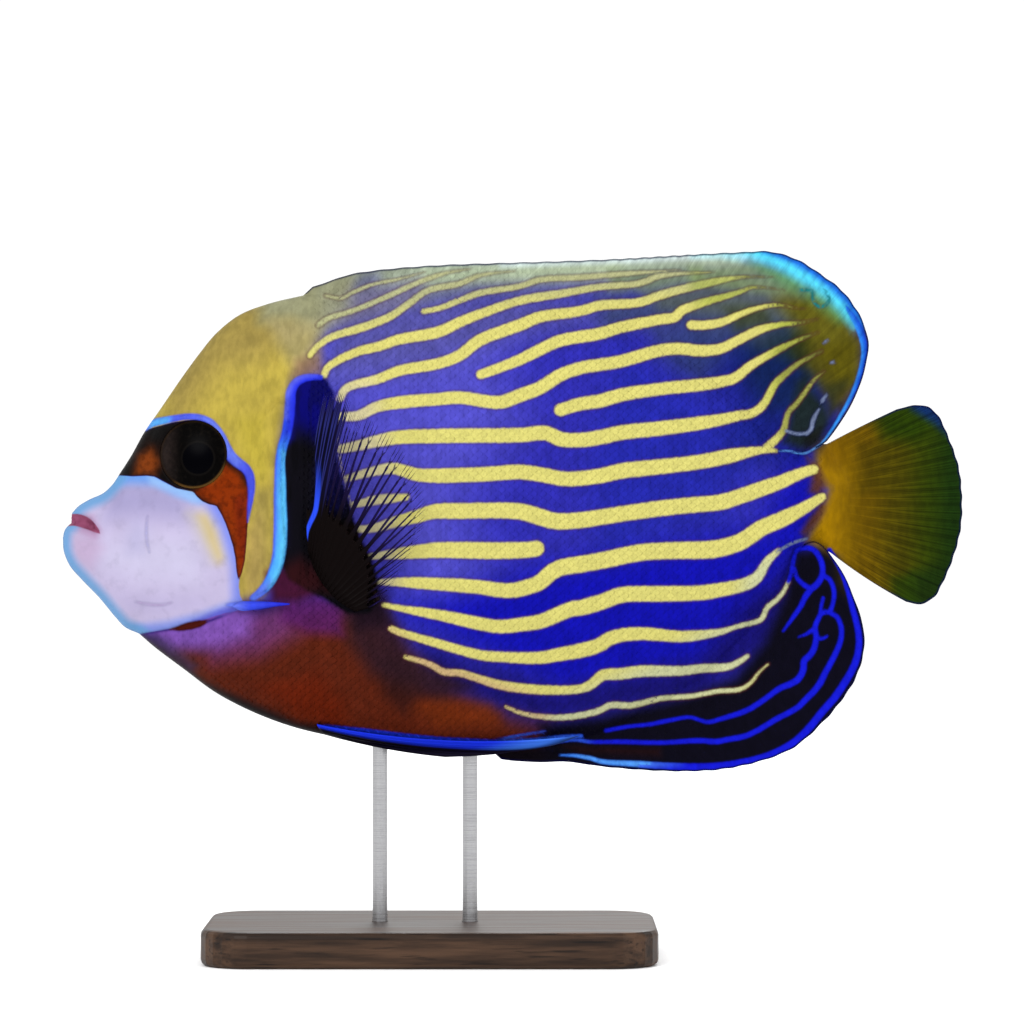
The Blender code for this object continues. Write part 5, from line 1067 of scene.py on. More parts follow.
def gaps_to(points, kept):
    """Distance from each point to the nearest of those kept."""
    tree = KDTree(len(kept))
    for i, (x, z) in enumerate(kept):
        tree.insert((x, z, 0.0), i)
    tree.balance()
    return np.array([tree.find((x, z, 0.0))[2] for x, z in points])


def spread(points, step, kept):
    """The points that lie at least that far from those kept."""
    return points[gaps_to(points, kept) > step]


def hexagonal(low, high, step):
    """Evenly spread points over a box."""
    x, z = np.meshgrid(np.arange(low[0], high[0], step), np.arange(low[1], high[1], step * math.sqrt(3) / 2))
    x[1::2] += step / 2
    return np.c_[x.ravel(), z.ravel()]


def stalk_edges(step):
    """The tail stalk's upper and lower edge, which lap the last rays of the fins beside it."""
    laps = ((STALK_TOP, STALK_LAP), (STALK_BOTTOM, -STALK_LAP))
    return [shifted(curve(line, step), lap) for line, lap in laps]


def body_outline(fans):
    """The body's loop of points in the side view, and which of them lie where no fin joins."""
    dorsal, anal, tail = (fans[name].plan[:fans[name].columns] for name in ("dorsal", "anal", "tail"))
    above, below = stalk_edges(OUTLINE_STEP)
    outline = [
        (curve(FOREHEAD, OUTLINE_STEP)[:-1], True), (dorsal, False),
        (above[1:-1], True), (tail, False),
        (below[::-1][1:-1], True), (anal[::-1], False),
        (curve(BELLY, OUTLINE_STEP)[::-1], True), (curve(CHIN, OUTLINE_STEP)[::-1][1:], True),
        (curve(LOWER_FRONT, FACE_STEP)[::-1][1:], True), (curve(UPPER_FRONT, FACE_STEP)[:-1], True),
    ]
    return (np.vstack([points for points, _ in outline]),
            np.concatenate([[is_free] * len(points) for points, is_free in outline]))


def body_points(loop):
    """Points inside the loop: over the details of the head, in rows beside the outline, and an even fill."""
    rows = []
    for line in (FOREHEAD, CHIN, UPPER_FRONT, LOWER_FRONT, BELLY, STALK_TOP, STALK_BOTTOM, BACK, ANAL_BASE):
        for depth in RIM_DEPTHS:
            smooth = curve(line, min(OUTLINE_STEP, RIM_STEP + depth))
            rows += [shifted(smooth, depth), shifted(smooth, -depth)]
    rows = np.vstack(rows)
    rows = rows[signed_distance(rows, loop) < -0.5 * RIM_DEPTHS[0]]
    rings = [circle(EYE_CENTRE, EYE_RADIUS + reach, EYE_ROUND) for reach in EYE_ROWS]
    rings += [grown(COVER_LOOP, reach) for reach in COVER_ROWS]
    lips = [grown(INNER_LIP_LOOP, reach) for reach in LIP_ROWS]
    folds = [shifted(curve(place(line), FACE_STEP), side) for line, _, _ in FOLDS[:2] for side in FOLD_ROWS]
    details = np.vstack(rings + lips + folds)
    details = details[signed_distance(details, loop) < -DETAILS_INSIDE]
    rows = spread(rows, RIM_SPACING, np.vstack([loop, details]))
    fill = np.vstack([hexagonal(*box) for box in FILLS])
    fill = fill[signed_distance(fill, loop) < -FILL_INSIDE]
    steps = np.where(fill[:, 0] < FACE_REAR, FACE_STEP, BODY_STEP)
    return details, rows, spread(fill, FILL_SPACING * steps, np.vstack([loop, details, rows]))


def body_plan(fans):
    """The body's points and triangles in the side view, and which points lie on an edge that no fin joins."""
    loop, free = body_outline(fans)
    points = [tuple(p) for p in np.vstack([loop, *body_points(loop)])]
    result = delaunay_2d_cdt(points, [], [list(range(len(loop)))], 1, 1e-5)
    plan = np.array([tuple(p) for p in result[0]])
    source = np.array([min(origin) if origin else len(points) for origin in result[3]])
    faces = []
    for a, b, c in result[2]:
        (ux, uz), (vx, vz) = plan[b] - plan[a], plan[c] - plan[a]
        area = ux * vz - uz * vx
        if abs(area) > 1e-7:
            faces.append((a, b, c) if area > 0 else (a, c, b))
    on_loop = source < len(loop)
    is_free = np.zeros(len(plan), bool)
    is_free[on_loop] = free[source[on_loop]]
    return plan, faces, is_free


def fin_half_width(fan, ridge):
    """Half width of a median fin, which runs into the body at its base."""
    root_half = fin_base_half_width(fan.start)
    membrane = MARGIN_HALF + (root_half - MARGIN_HALF) * (1.0 - fan.row) ** MEMBRANE_TAPER
    relief = RIDGE * ridge * smoothstep(*RIDGE_RISE, fan.row) * (1.0 - RIDGE_FALL * fan.row)
    thick = blended(membrane + relief, body_half_width(fan.plan))
    return EDGE_HALF + (thick - EDGE_HALF) * np.where(fan.row > 0.0, fan.edge_rounding(EDGE_REACH), 1.0)


def skin_plan():
    """The whole fish in the side view: points, triangles, half widths, and the fins' marks for its finish."""
    fans = median_fans()
    plan, faces, is_free = body_plan(fans)
    half = skin_half_width(plan)
    for edge in stalk_edges(FINE):
        close, apart, _ = nearest(plan, edge, STALK_ROUNDING)
        half[close] *= rounded(apart / STALK_ROUNDING)
    half = np.where(is_free, 0.0, np.maximum(half, LEAST_HALF))
    plans, halves, all_faces = [plan], [half], list(faces)
    kept_of_fins = {name: [np.zeros(len(plan))] for name in ("fin_ray", "fin_line", "fin_part")}
    first = len(plan)
    for name, fan in fans.items():
        ridge = fan.ridge({"dorsal": DORSAL_SPINES, "anal": ANAL_SPINES, "tail": 1}[name])
        plans.append(fan.plan)
        halves.append(fin_half_width(fan, ridge))
        shown = FIN_STREAKS[name] * smoothstep(*STREAK_RISE, fan.row)
        kept_of_fins["fin_ray"].append(shown * (2.0 * ridge - 1.0))
        kept_of_fins["fin_line"].append(fan.ray)
        kept_of_fins["fin_part"].append(shown)
        all_faces += [tuple(i + first for i in face) for face in fan.faces]
        first += len(fan.plan)
    plan, half = np.vstack(plans), np.concatenate(halves)
    _, kept, merged = np.unique(np.round(plan, 4), axis=0, return_index=True, return_inverse=True)
    merged = merged.ravel()
    faces = [tuple(int(merged[i]) for i in face) for face in all_faces]
    faces = [face for face in faces if len(set(face)) == 3]
    return plan[kept], faces, half[kept], {name: np.concatenate(v)[kept] for name, v in kept_of_fins.items()}


def outline_of(faces):
    """The loops of edges that only one triangle has."""
    edges = {(a, b) for face in faces for a, b in zip(face, face[1:] + face[:1])}
    return [(a, b) for a, b in sorted(edges) if (b, a) not in edges]


# Meshes


def add_object(name, points, faces, finish):
    """A mesh from points in millimetres."""
    mesh = bpy.data.meshes.new(name)
    mesh.from_pydata(points * MM, [], faces)
    mesh.materials.append(finish)
    mesh.shade_smooth()
    made = bpy.data.objects.new(name, mesh)
    bpy.context.scene.collection.objects.link(made)
    return made


def two_faced(plan, faces, near, far):
    """A closed solid over a flat plan, from y = near to y = far, and the plan's point for each of its own."""
    count = len(plan)
    shared = far - near < THIN
    middle = (near + far) / 2
    points = np.vstack([np.c_[plan[:, 0], np.where(shared, middle, near), plan[:, 1]],
                        np.c_[plan[:, 0], far, plan[:, 1]]])
    other = np.where(shared, np.arange(count), np.arange(count) + count)
    solid = [tuple(face) for face in faces if not all(shared[i] for i in face)]
    solid += [tuple(int(other[i]) for i in reversed(face)) for face in solid]
    for a, b in outline_of(faces):
        wall = []
        for v in (b, a, int(other[a]), int(other[b])):
            if v not in wall:
                wall.append(v)
        if len(wall) > 2:
            solid.append(tuple(wall))
    used = np.unique(np.concatenate([np.array(face) for face in solid]))
    order = {int(old): new for new, old in enumerate(used)}
    return points[used], [tuple(order[i] for i in face) for face in solid], used % count


def give(made, name, values):
    """Keeps a number or a colour with each point of a mesh."""
    values = np.asarray(values, float)
    kind, field = ("FLOAT_COLOR", "color") if values.ndim == 2 else ("FLOAT", "value")
    data = made.data.attributes.new(name, kind, "POINT").data
    data.foreach_set(field, values.ravel())


def give_bake_map(made, flat):
    """Lays the mesh out on the UV map for baking, from a place for each of its points."""
    layer = made.data.uv_layers.new(name="OFBake")
    corners = np.zeros(len(made.data.loops), int)
    made.data.loops.foreach_get("vertex_index", corners)
    layer.data.foreach_set("uv", flat[corners].ravel())


class Unwrap:
    """The skin rolled out flat: along the fish, and round it by the length over its surface."""

    def __init__(self):
        grid = np.array([(x, z) for x in MAP_X for z in MAP_Z])
        width = bare_half_width(grid).reshape(len(MAP_X), -1)
        step = np.hypot(np.diff(width, axis=1), np.diff(MAP_Z))
        reach = np.c_[np.zeros(len(MAP_X)), np.cumsum(step, axis=1)]
        middle = np.argmin(np.abs(MAP_Z - MAP_MIDDLE))
        self.reach = reach - reach[:, middle:middle + 1]

    def flat(self, plan, right):
        """Places on the map; the right flank lies over the left."""
        i, j = (np.clip((plan[:, axis] - grid[0]) / (grid[1] - grid[0]), 0, len(grid) - 1.001)
                for axis, grid in enumerate((MAP_X, MAP_Z)))
        a, b = i.astype(int), j.astype(int)
        s, t = i - a, j - b
        round_it = ((1 - s) * (1 - t) * self.reach[a, b] + s * (1 - t) * self.reach[a + 1, b]
                    + (1 - s) * t * self.reach[a, b + 1] + s * t * self.reach[a + 1, b + 1])
        return np.c_[0.5 + plan[:, 0] * MAP_SCALE, np.where(right, 0.75, 0.25) + round_it * MAP_SCALE]


# Markings kept with each point


def linear(srgb):
    """Linear colour, under this scene's light, of an sRGB colour out of 255."""
    share = np.asarray(srgb, float) / 255.0
    return LIGHT_SHARE * np.where(share <= 0.04045, share / 12.92, ((share + 0.055) / 1.055) ** 2.4)


def opaque(srgb):
    """The same with a full alpha."""
    colour = linear(srgb)
    return np.concatenate([colour, np.ones(colour.shape[:-1] + (1,))], axis=-1)


def washed(plan, base, washes):
    """The base colour with each wash laid over it."""
    colour = np.broadcast_to(np.asarray(base, float), (len(plan), 3)).copy()
    for srgb, softness, strength, loop in washes:
        apart = signed_distance(plan, place(loop)) * PIXELS_PER_MM
        weight = strength * (1.0 - smoothstep(-softness, softness, apart))
        colour += weight[:, None] * (np.array(srgb) - colour)
    return opaque(colour)


def markings(plan):
    """What the skin's finish reads at each point, by name."""
    stripe = np.full(len(plan), FAR)
    for line, widths in STRIPES.values():
        stripe = np.minimum(stripe, edge_distance(plan, curve(place(line), STRIPE_STEP), widths))
    stripe += LOBE_TRIM * smoothstep(*LOBE_REACH[0], plan[:, 0]) * smoothstep(*LOBE_REACH[1], plan[:, 1])
    stripe += LOBE_TRIM * smoothstep(*TOP_REACH, plan[:, 1])
    apart = np.full(len(plan), FAR)
    colour = np.tile(np.array(LINE_COLOURS["blue"], float), (len(plan), 1))
    for line, widths, kind in LINES.values():
        found = edge_distance(plan, curve(place(line), LINE_STEP), widths)
        found -= NET_SWELL * (kind == "deep")
        nearer = found < apart
        apart[nearer], colour[nearer] = found[nearer], LINE_COLOURS[kind]
    loops = {"muzzle": place(MUZZLE), "mask": place(MASK), "patch": place(PATCH), "lips": INNER_LIP_LOOP}
    paints = {
        "ground": (FLANK, WASHES), "stripe_colour": (STRIPE, STRIPE_WASHES),
        "line_colour": (colour, LINE_WASHES), "muzzle_colour": (MUZZLE_BASE, MUZZLE_WASHES),
        "mask_colour": (MASK_BASE, MASK_WASHES), "patch_colour": (PATCH_BASE, PATCH_WASHES),
    }
    found = {"stripe": stripe, "line": apart}
    found.update((name, signed_distance(plan, loop)) for name, loop in loops.items())
    found.update((name, washed(plan, base, washes)) for name, (base, washes) in paints.items())
    return found


# Finishes


class Shader:
    """A material, built node by node."""

    def __init__(self, name):
        self.material = bpy.data.materials.new(name)
        self.material.use_nodes = True
        self.tree = self.material.node_tree
        self.surface = self.tree.nodes["Principled BSDF"]
        self.place = self.node("ShaderNodeTexCoord").outputs["Object"]

    def node(self, kind, inputs=(), **settings):
        made = self.tree.nodes.new(kind)
        for key, value in settings.items():
            setattr(made, key, value)
        for key, value in dict(inputs).items():
            self.put(made.inputs[key], value)
        return made

    def put(self, socket, value):
        if isinstance(value, bpy.types.NodeSocket):
            self.tree.links.new(value, socket)
        else:
            socket.default_value = value

    def set(self, **values):
        """Sets or links sockets of the surface; an underscore in a name stands for a space."""
        for key, value in values.items():
            self.put(self.surface.inputs[key.replace("_", " ")], value)

    def kept(self, name, colour=False):
        return self.node("ShaderNodeAttribute", attribute_name=name).outputs["Color" if colour else "Fac"]

    def math(self, operation, first, second=0.0):
        made = self.node("ShaderNodeMath", operation=operation)
        self.put(made.inputs[0], first)
        self.put(made.inputs[1], second)
        return made.outputs[0]

    def times(self, first, second):
        return self.math("MULTIPLY", first, second)

    def plus(self, first, second):
        return self.math("ADD", first, second)

    def ramp(self, value, low, high, start=0.0, end=1.0):
        """A smooth step from start to end as the value goes from low to high."""
        names = {"Value": value, "From Min": low, "From Max": high, "To Min": start, "To Max": end}
        return self.node("ShaderNodeMapRange", names, interpolation_type="SMOOTHSTEP").outputs["Result"]

    def mix(self, first, second, share, blend="MIX"):
        made = self.node("ShaderNodeMix", data_type="RGBA", blend_type=blend)
        for socket, value in ((made.inputs[0], share), (made.inputs[6], first), (made.inputs[7], second)):
            self.put(socket, value)
        return made.outputs[2]

    def shade(self, colour, factor):
        """The colour made lighter or darker by a factor."""
        return self.mix(colour, factor, 1.0, "MULTIPLY")

    def line_noise(self, along, scale):
        """Noise from 0 to 1 that only changes with one number."""
        names = {"W": along, "Scale": scale, "Detail": 2.0}
        return self.node("ShaderNodeTexNoise", names, noise_dimensions="1D").outputs[0]

    def noise(self, scale, detail=2.0, stretch=(1.0, 1.0, 1.0), roughness=0.5):
        """Noise from 0 to 1, with so many features to a metre."""
        mapped = self.node("ShaderNodeMapping", {"Vector": self.place, "Scale": stretch})
        names = {"Vector": mapped.outputs[0], "Scale": scale, "Detail": detail, "Roughness": roughness}
        return self.node("ShaderNodeTexNoise", names).outputs[0]

    def bump(self, height, distance, strength=1.0):
        made = self.node("ShaderNodeBump", {"Height": height, "Strength": strength, "Distance": distance})
        self.set(Normal=made.outputs[0])


def tint(srgb):
    """A painted colour, as a shader's socket takes it."""
    return tuple(float(v) for v in opaque(srgb))


def skin_finish(name, coat=False):
    """The ground colour, and over it, in turn: stripes, shoulder patch, muzzle, mask, lines and lips."""
    s = Shader(name)
    blotch, grain, cloud = s.noise(330.0, 3.0, (1.5, 1.0, 0.7)), s.noise(1500.0, 2.0), s.noise(110.0, 3.0)
    waver = s.times(s.plus(s.noise(700.0, 2.0), -0.5), 0.45)
    mottle = s.times(s.ramp(blotch, 0.25, 0.75, 0.86, 1.14), s.ramp(cloud, 0.3, 0.7, 0.92, 1.06))
    colour = s.shade(s.kept("ground", True), mottle)
    stripe = s.plus(s.kept("stripe"), waver)
    colour = s.mix(colour, tint(STRIPE_SHADE), s.ramp(stripe, 1.1, 0.1, 0.0, 0.45))
    yellow = s.shade(s.kept("stripe_colour", True), s.ramp(grain, 0.3, 0.8, 1.04, 0.86))
    colour = s.mix(colour, yellow, s.ramp(stripe, 0.5, -0.5))
    streaks = s.ramp(s.noise(420.0, 1.0, (1.0, 1.0, 0.12)), 0.45, 0.62, 1.0, 0.6)
    shoulder = s.shade(s.kept("patch_colour", True), streaks)
    colour = s.mix(colour, shoulder, s.ramp(s.plus(s.kept("patch"), waver), 1.1, -0.8))
    muzzle = s.plus(s.kept("muzzle"), s.times(waver, 0.6))
    speckle = s.times(s.ramp(cloud, 0.3, 0.7, 0.965, 1.03), s.ramp(s.noise(240.0, 3.0), 0.5, 0.75, 1.0, 0.9))
    pale = s.shade(s.kept("muzzle_colour", True), speckle)
    rim, brink = s.kept("rim"), s.kept("brink")
    pale = s.mix(pale, tint(MUZZLE_RIM), s.ramp(rim, 5.2, 1.4, 0.0, 0.9))
    # painted shade along the snout's thin edge, as a darker blue band
    pale = s.mix(pale, tint(MUZZLE_EDGE_SHADE), s.ramp(brink, 2.2, 0.7, 0.0, 0.35))
    colour = s.mix(colour, pale, s.ramp(muzzle, 0.3, -0.3))
    mask = s.shade(s.kept("mask_colour", True), s.ramp(s.noise(500.0, 3.0), 0.4, 0.75, 1.08, 0.6))
    mask = s.mix(mask, tint(MASK_SHADE), s.ramp(s.kept("mask"), -0.9, -0.1, 0.0, 0.6))
    colour = s.mix(colour, mask, s.ramp(s.plus(s.kept("mask"), s.times(waver, 0.4)), 0.2, -0.2))
    line = s.plus(s.kept("line"), s.times(waver, 0.5))
    colour = s.mix(colour, tint(LINE_SHADE), s.ramp(line, 0.9, 0.0, 0.0, 0.2))
    stroke = s.mix(s.kept("line_colour", True), STROKE_EDGE, s.ramp(line, -1.0, 0.1, 0.0, 0.6), "MULTIPLY")
    stroke = s.shade(stroke, s.ramp(blotch, 0.3, 0.75, 0.9, 1.12))
    colour = s.mix(colour, stroke, s.ramp(line, 0.4, -0.4))
    lips = s.mix(tint(LIP_ROSE), tint(LIP_PLUM), s.ramp(s.noise(300.0, 2.0), 0.4, 0.7, 0.0, 0.6))
    colour = s.mix(colour, lips, s.ramp(s.kept("lips"), 0.25, -0.25))
    if coat:
        colour = s.shade(colour, s.ramp(s.kept("tone"), 0.0, 1.0, 0.94, 1.05))
    else:
        on_fin = s.ramp(s.kept("fin_part"), 0.0, 0.12, 0.15, 0.8)
        streak = s.line_noise(s.kept("fin_line"), 9.0)
        streak = s.times(s.plus(streak, -0.5), s.times(s.kept("fin_part"), 1.1))
        colour = s.shade(colour, s.plus(s.plus(s.times(s.kept("fin_ray"), 0.24), 1.0), streak))
        # painted shade: a dark band along the thin edges, faint on the body and strong on the fins, where it
        # is partly their own dark margin
        colour = s.mix(colour, tint(FIN_MARGIN_AND_EDGE_SHADE), s.times(s.ramp(brink, 0.95, 0.3), on_fin))
    s.set(Base_Color=colour, Roughness=s.ramp(grain, 0.3, 0.7, 0.36, 0.52), Specular_IOR_Level=0.02)
    s.bump(s.plus(s.times(grain, 0.6), s.times(blotch, 0.5)), 0.00012, 0.5)
    return s.material


def spine_finish():
    """Violet at the root, where it leaves the cheek, and blue from there to the tip."""
    s = Shader("cheek_spine_skin")
    out, tone = s.kept("depth"), s.noise(400.0, 2.0)
    colour = s.mix(tint(SPINE_VIOLET), tint(SPINE_BLUE), s.ramp(out, 0.0, 0.35))
    colour = s.mix(colour, tint(SPINE_TIP), s.ramp(out, 0.3, 0.9))
    colour = s.shade(colour, s.ramp(tone, 0.3, 0.7, 0.88, 1.08))
    s.set(Base_Color=colour, Roughness=s.ramp(tone, 0.3, 0.7, 0.34, 0.46), Specular_IOR_Level=0.03)
    s.bump(tone, 0.0001, 0.4)
    return s.material


def eye_finish():
    """Nearly black and wet: paler in front, brown along the lower edge, with an off-centre pupil."""
    s = Shader("eye_wet")
    pupil, edge, ahead, below = (s.kept(name) for name in ("pupil", "eye_edge", "ahead", "below"))
    fleck = s.noise(700.0, 3.0)
    flecked = s.times(s.ramp(fleck, 0.45, 0.75), s.ramp(pupil, 0.2, 3.0))
    colour = s.mix(tint(EYE_BLACK), tint(EYE_FLECK), flecked)
    front = s.times(s.ramp(ahead, 0.3, 1.0), s.ramp(edge, 0.1, 2.0, 0.5, 1.0))
    colour = s.mix(colour, tint(EYE_FRONT), s.times(front, s.ramp(fleck, 0.2, 0.7, 0.5, 0.8)))
    lower = s.ramp(edge, 1.1, 0.3)
    lower = s.times(lower, s.ramp(s.plus(below, s.times(ahead, -0.35)), 0.45, 0.85, 0.05, 0.7))
    colour = s.mix(colour, tint(EYE_BELOW), lower)
    around = s.times(s.ramp(pupil, -0.3, 0.1), s.ramp(pupil, 0.9, 0.3, 0.0, 0.4))
    colour = s.mix(colour, tint(PUPIL_RIM), around)
    colour = s.mix(colour, tint(PUPIL), s.ramp(pupil, 0.2, -0.4))
    s.set(Base_Color=colour, Roughness=0.3, Specular_IOR_Level=0.012)
    s.bump(fleck, 0.00003, 0.2)
    return s.material


def pectoral_finish():
    """Thin dark rays in a clear web, which thicken inwards and fill the fleshy root and the front edge."""
    s = Shader("pectoral_web")
    ridge, out, share = s.kept("ridge"), s.kept("depth"), s.kept("share")
    front = s.times(s.ramp(share, 0.28, 0.15), s.ramp(out, 1.02, 0.7))
    edge = s.plus(s.ramp(out, 0.07, 0.3, 0.0, 0.14), s.ramp(out, 0.32, 0.7, 0.0, -0.07))
    behind = s.math("SUBTRACT", share, edge)
    needed = s.plus(s.ramp(out, 0.22, 0.5, -0.2, 0.6), s.ramp(out, 0.5, 0.85, 0.0, 0.3))
    needed = s.plus(needed, s.plus(s.ramp(out, 0.78, 0.98, 0.0, 0.4), s.times(front, -1.3)))
    needed = s.plus(needed, s.times(s.ramp(behind, -0.02, -0.04), s.ramp(out, 0.2, 0.3, 0.0, 3.0)))
    solid = s.ramp(s.math("SUBTRACT", ridge, needed), -0.05, 0.08)
    colour = s.mix(tint(PECTORAL_OUTER), tint(PECTORAL_ROOT_DARK), s.ramp(out, 0.58, 0.3))
    bundle = s.mix(tint(BUNDLE_DARK), tint(BUNDLE_PALE), s.ramp(ridge, 0.35, 0.9))
    colour = s.mix(colour, bundle, s.times(front, s.ramp(out, 0.24, 0.42)))
    stroke = s.times(s.ramp(s.math("ABSOLUTE", behind, 0.0), 0.04, 0.02), s.ramp(out, 0.06, 0.1))
    colour = s.mix(colour, tint(PECTORAL_EDGE_BLUE), s.times(stroke, s.ramp(out, 0.58, 0.26)))
    s.set(Base_Color=colour, Roughness=0.42, Specular_IOR_Level=0.02, Alpha=solid)
    s.bump(s.noise(1200.0, 2.0), 0.00006, 0.4)
    return s.material


def pelvic_finish():
    """Black web behind a bright blue first ray."""
    s = Shader("pelvic_web")
    share, out = s.kept("share"), s.kept("depth")
    colour = s.mix(tint(PELVIC_WEB), tint(PELVIC_RAY), s.ramp(s.kept("ridge"), 0.3, 0.9, 0.0, 0.7))
    stroke = s.times(s.ramp(share, 0.42, 0.24), s.ramp(out, 1.0, 0.9, 0.2, 1.0))
    blue = s.mix(tint(PELVIC_BLUE), tint(PELVIC_SKY), s.ramp(out, 0.66, 0.9))
    colour = s.mix(colour, s.shade(blue, s.ramp(share, 0.0, 0.36, 1.15, 0.7)), stroke)
    s.set(Base_Color=colour, Roughness=0.42, Specular_IOR_Level=0.03)
    s.bump(s.noise(1200.0, 2.0), 0.00006, 0.4)
    return s.material


def wood_finish():
    """Dark-stained wood, its grain along the base."""
    s = Shader("stained_wood")
    grain = s.noise(60.0, 6.0, (0.25, 4.0, 4.0), 0.6)
    pores = s.noise(900.0, 3.0, (0.06, 1.0, 1.0))
    colour = s.mix(WOOD_DARK, WOOD_PALE, s.ramp(grain, 0.35, 0.68))
    colour = s.mix(colour, WOOD_PORE, s.ramp(pores, 0.56, 0.7, 0.0, 0.7))
    s.set(Base_Color=colour, Roughness=s.ramp(grain, 0.3, 0.7, 0.36, 0.5), Specular_IOR_Level=0.12)
    s.bump(s.math("SUBTRACT", grain, pores), 0.0002, 0.35)
    return s.material


def steel_finish():
    """Steel brushed round the rod."""
    s = Shader("brushed_rod")
    lines = s.noise(160.0, 4.0, (0.3, 0.3, 26.0))
    s.set(Base_Color=s.mix(STEEL_DARK, STEEL_PALE, s.ramp(lines, 0.35, 0.65)),
          Roughness=s.ramp(lines, 0.3, 0.7, 0.24, 0.38), Metallic=1.0)
    s.bump(lines, 0.00003, 0.2)
    return s.material


def floor_finish():
    s = Shader("pale_floor")
    tone = s.noise(3.0, 3.0)
    s.set(Base_Color=s.mix(FLOOR_DARK, FLOOR_PALE, tone), Roughness=0.85,
          Specular_IOR_Level=0.1)
    return s.material


# Pieces


def make_skin(unwrap):
    plan, faces, half, fins = skin_plan()
    points, solid, source = two_faced(plan, faces, -half, half)
    skin = add_object("skin", points, solid, skin_finish("fish_skin"))
    found = markings(plan)
    silhouette = [plan[[a, b]] for a, b in outline_of(faces)]
    rim = rim_distance(plan, silhouette)
    brink = np.hypot(rim, BRINK_DEPTH * half)
    for name, values in {**found, "rim": rim, "brink": brink, **fins}.items():
        give(skin, name, values[source])
    give_bake_map(skin, unwrap.flat(points[:, [0, 2]], points[:, 1] > 0.0))
    keep(skin, "skin", "head", "torso", "tail_stalk", "gill_cover_left", "gill_cover_right", "dorsal_fin",
         "anal_fin", "tail_fin")
    return skin, silhouette


def rim_distance(plan, silhouette):
    """Distance in the side view to the fish's silhouette, up to a few millimetres."""
    probes = np.vstack([edge + (edge[::-1] - edge) * share for edge in silhouette for share in (0.0, 0.5)])
    return np.minimum(gaps_to(plan, probes), FAR)


def keep(made, slot, *nodes):
    """Puts a piece under the root and hides the frame's nodes that it stands for."""
    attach(made, "root")
    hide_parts(*nodes)


def scale_roots():
    """Where scales grow, in staggered rows behind the gill cover, with each one's size and share of lift."""
    roots = []
    for number, z in enumerate(np.arange(*SCALES_BOX[1], SCALE_ROW)):
        x = np.arange(*SCALES_BOX[0], SCALE_PITCH) + (number % 2) * SCALE_PITCH / 2
        roots.append(np.c_[x, np.full(len(x), z)])
    roots = np.vstack(roots)
    roots += np.random.default_rng(SEED).uniform(-SCALE_SCATTER, SCALE_SCATTER, roots.shape)
    x, z = roots.T
    edges = ((GILL_LINE, -1), (BACK, 1), (STALK_TOP, 1), (TAIL_BASE, 1),
             (STALK_BOTTOM, -1), (ANAL_BASE, -1), (BELLY, -1))
    body = np.vstack([curve(line, SCALES_EDGE_STEP)[::way] for line, way in edges])
    beyond = signed_distance(roots, body)
    gill = np.full(len(roots), FAR)
    close, apart, _ = nearest(roots, curve(GILL_LINE, SCALES_EDGE_STEP), FAR)
    gill[close] = apart
    out = np.clip(beyond, 0.0, None) / SCALES_ONTO_FINS
    shown = (1.0 - out) * (SHOWN_AT_GILL + (1.0 - SHOWN_AT_GILL) * gill / FAR)
    upper_gill = np.array(sorted((z, x) for x, z in GILL_LINE[:11])).T
    behind = x > np.interp(z, *upper_gill) + BEHIND_GILL
    low = (z < THROAT_TOP) & (beyond < -THROAT_INSIDE)
    good = (shown > SHOWN_LEAST) & (behind | low) & (x < SCALES_REAR)
    return roots[good], 1.0 - SMALLER_ON_FINS * out[good], shown[good]


def scale_shape():
    """One scale's grid: shares along and across it, how far out and aside its points lie, and their lift."""
    along_it = np.repeat(SCALE_CUTS, len(SCALE_SPAN))
    across = np.tile(SCALE_SPAN, len(SCALE_CUTS))
    out = np.minimum(along_it, 1.0)
    under = along_it > 1.0
    rounding = 1.0 - SCALE_ROUNDING * np.square(across) * smoothstep(0.2, 1.0, along_it)
    length = SCALE_LENGTH * out * rounding + SCALE_TUCK[0] * under
    width = 0.5 * SCALE_WIDTH * across * (SCALE_WAIST + (1.0 - SCALE_WAIST) * np.sin(math.pi * out))
    lift = SCALE_ROOT + SCALE_RISE * along_it - SCALE_ARCH * np.square(across)
    return out, across, length, width, np.where(under, SCALE_TUCK[1], lift)


def found_on(skin, plates):
    """Which plates lie in full on the skin's right flank, where their points lie, and the skin's facing."""
    points = [tuple(v.co / MM) for v in skin.data.vertices]
    tree = BVHTree.FromPolygons(points, [tuple(p.vertices) for p in skin.data.polygons])
    inwards = Vector((0.0, -1.0, 0.0))
    good, places, facings = [], [], []
    for plate in plates:
        hits = [tree.ray_cast(Vector((x, CAST_FROM, z)), inwards) for x, z in plate]
        good.append(all(hit[0] is not None and hit[1].y > SIDE_FACING for hit in hits))
        if good[-1]:
            places.append([tuple(hit[0]) for hit in hits])
            facings.append([tuple(hit[1]) for hit in hits])
    return np.array(good), np.array(places), np.array(facings)


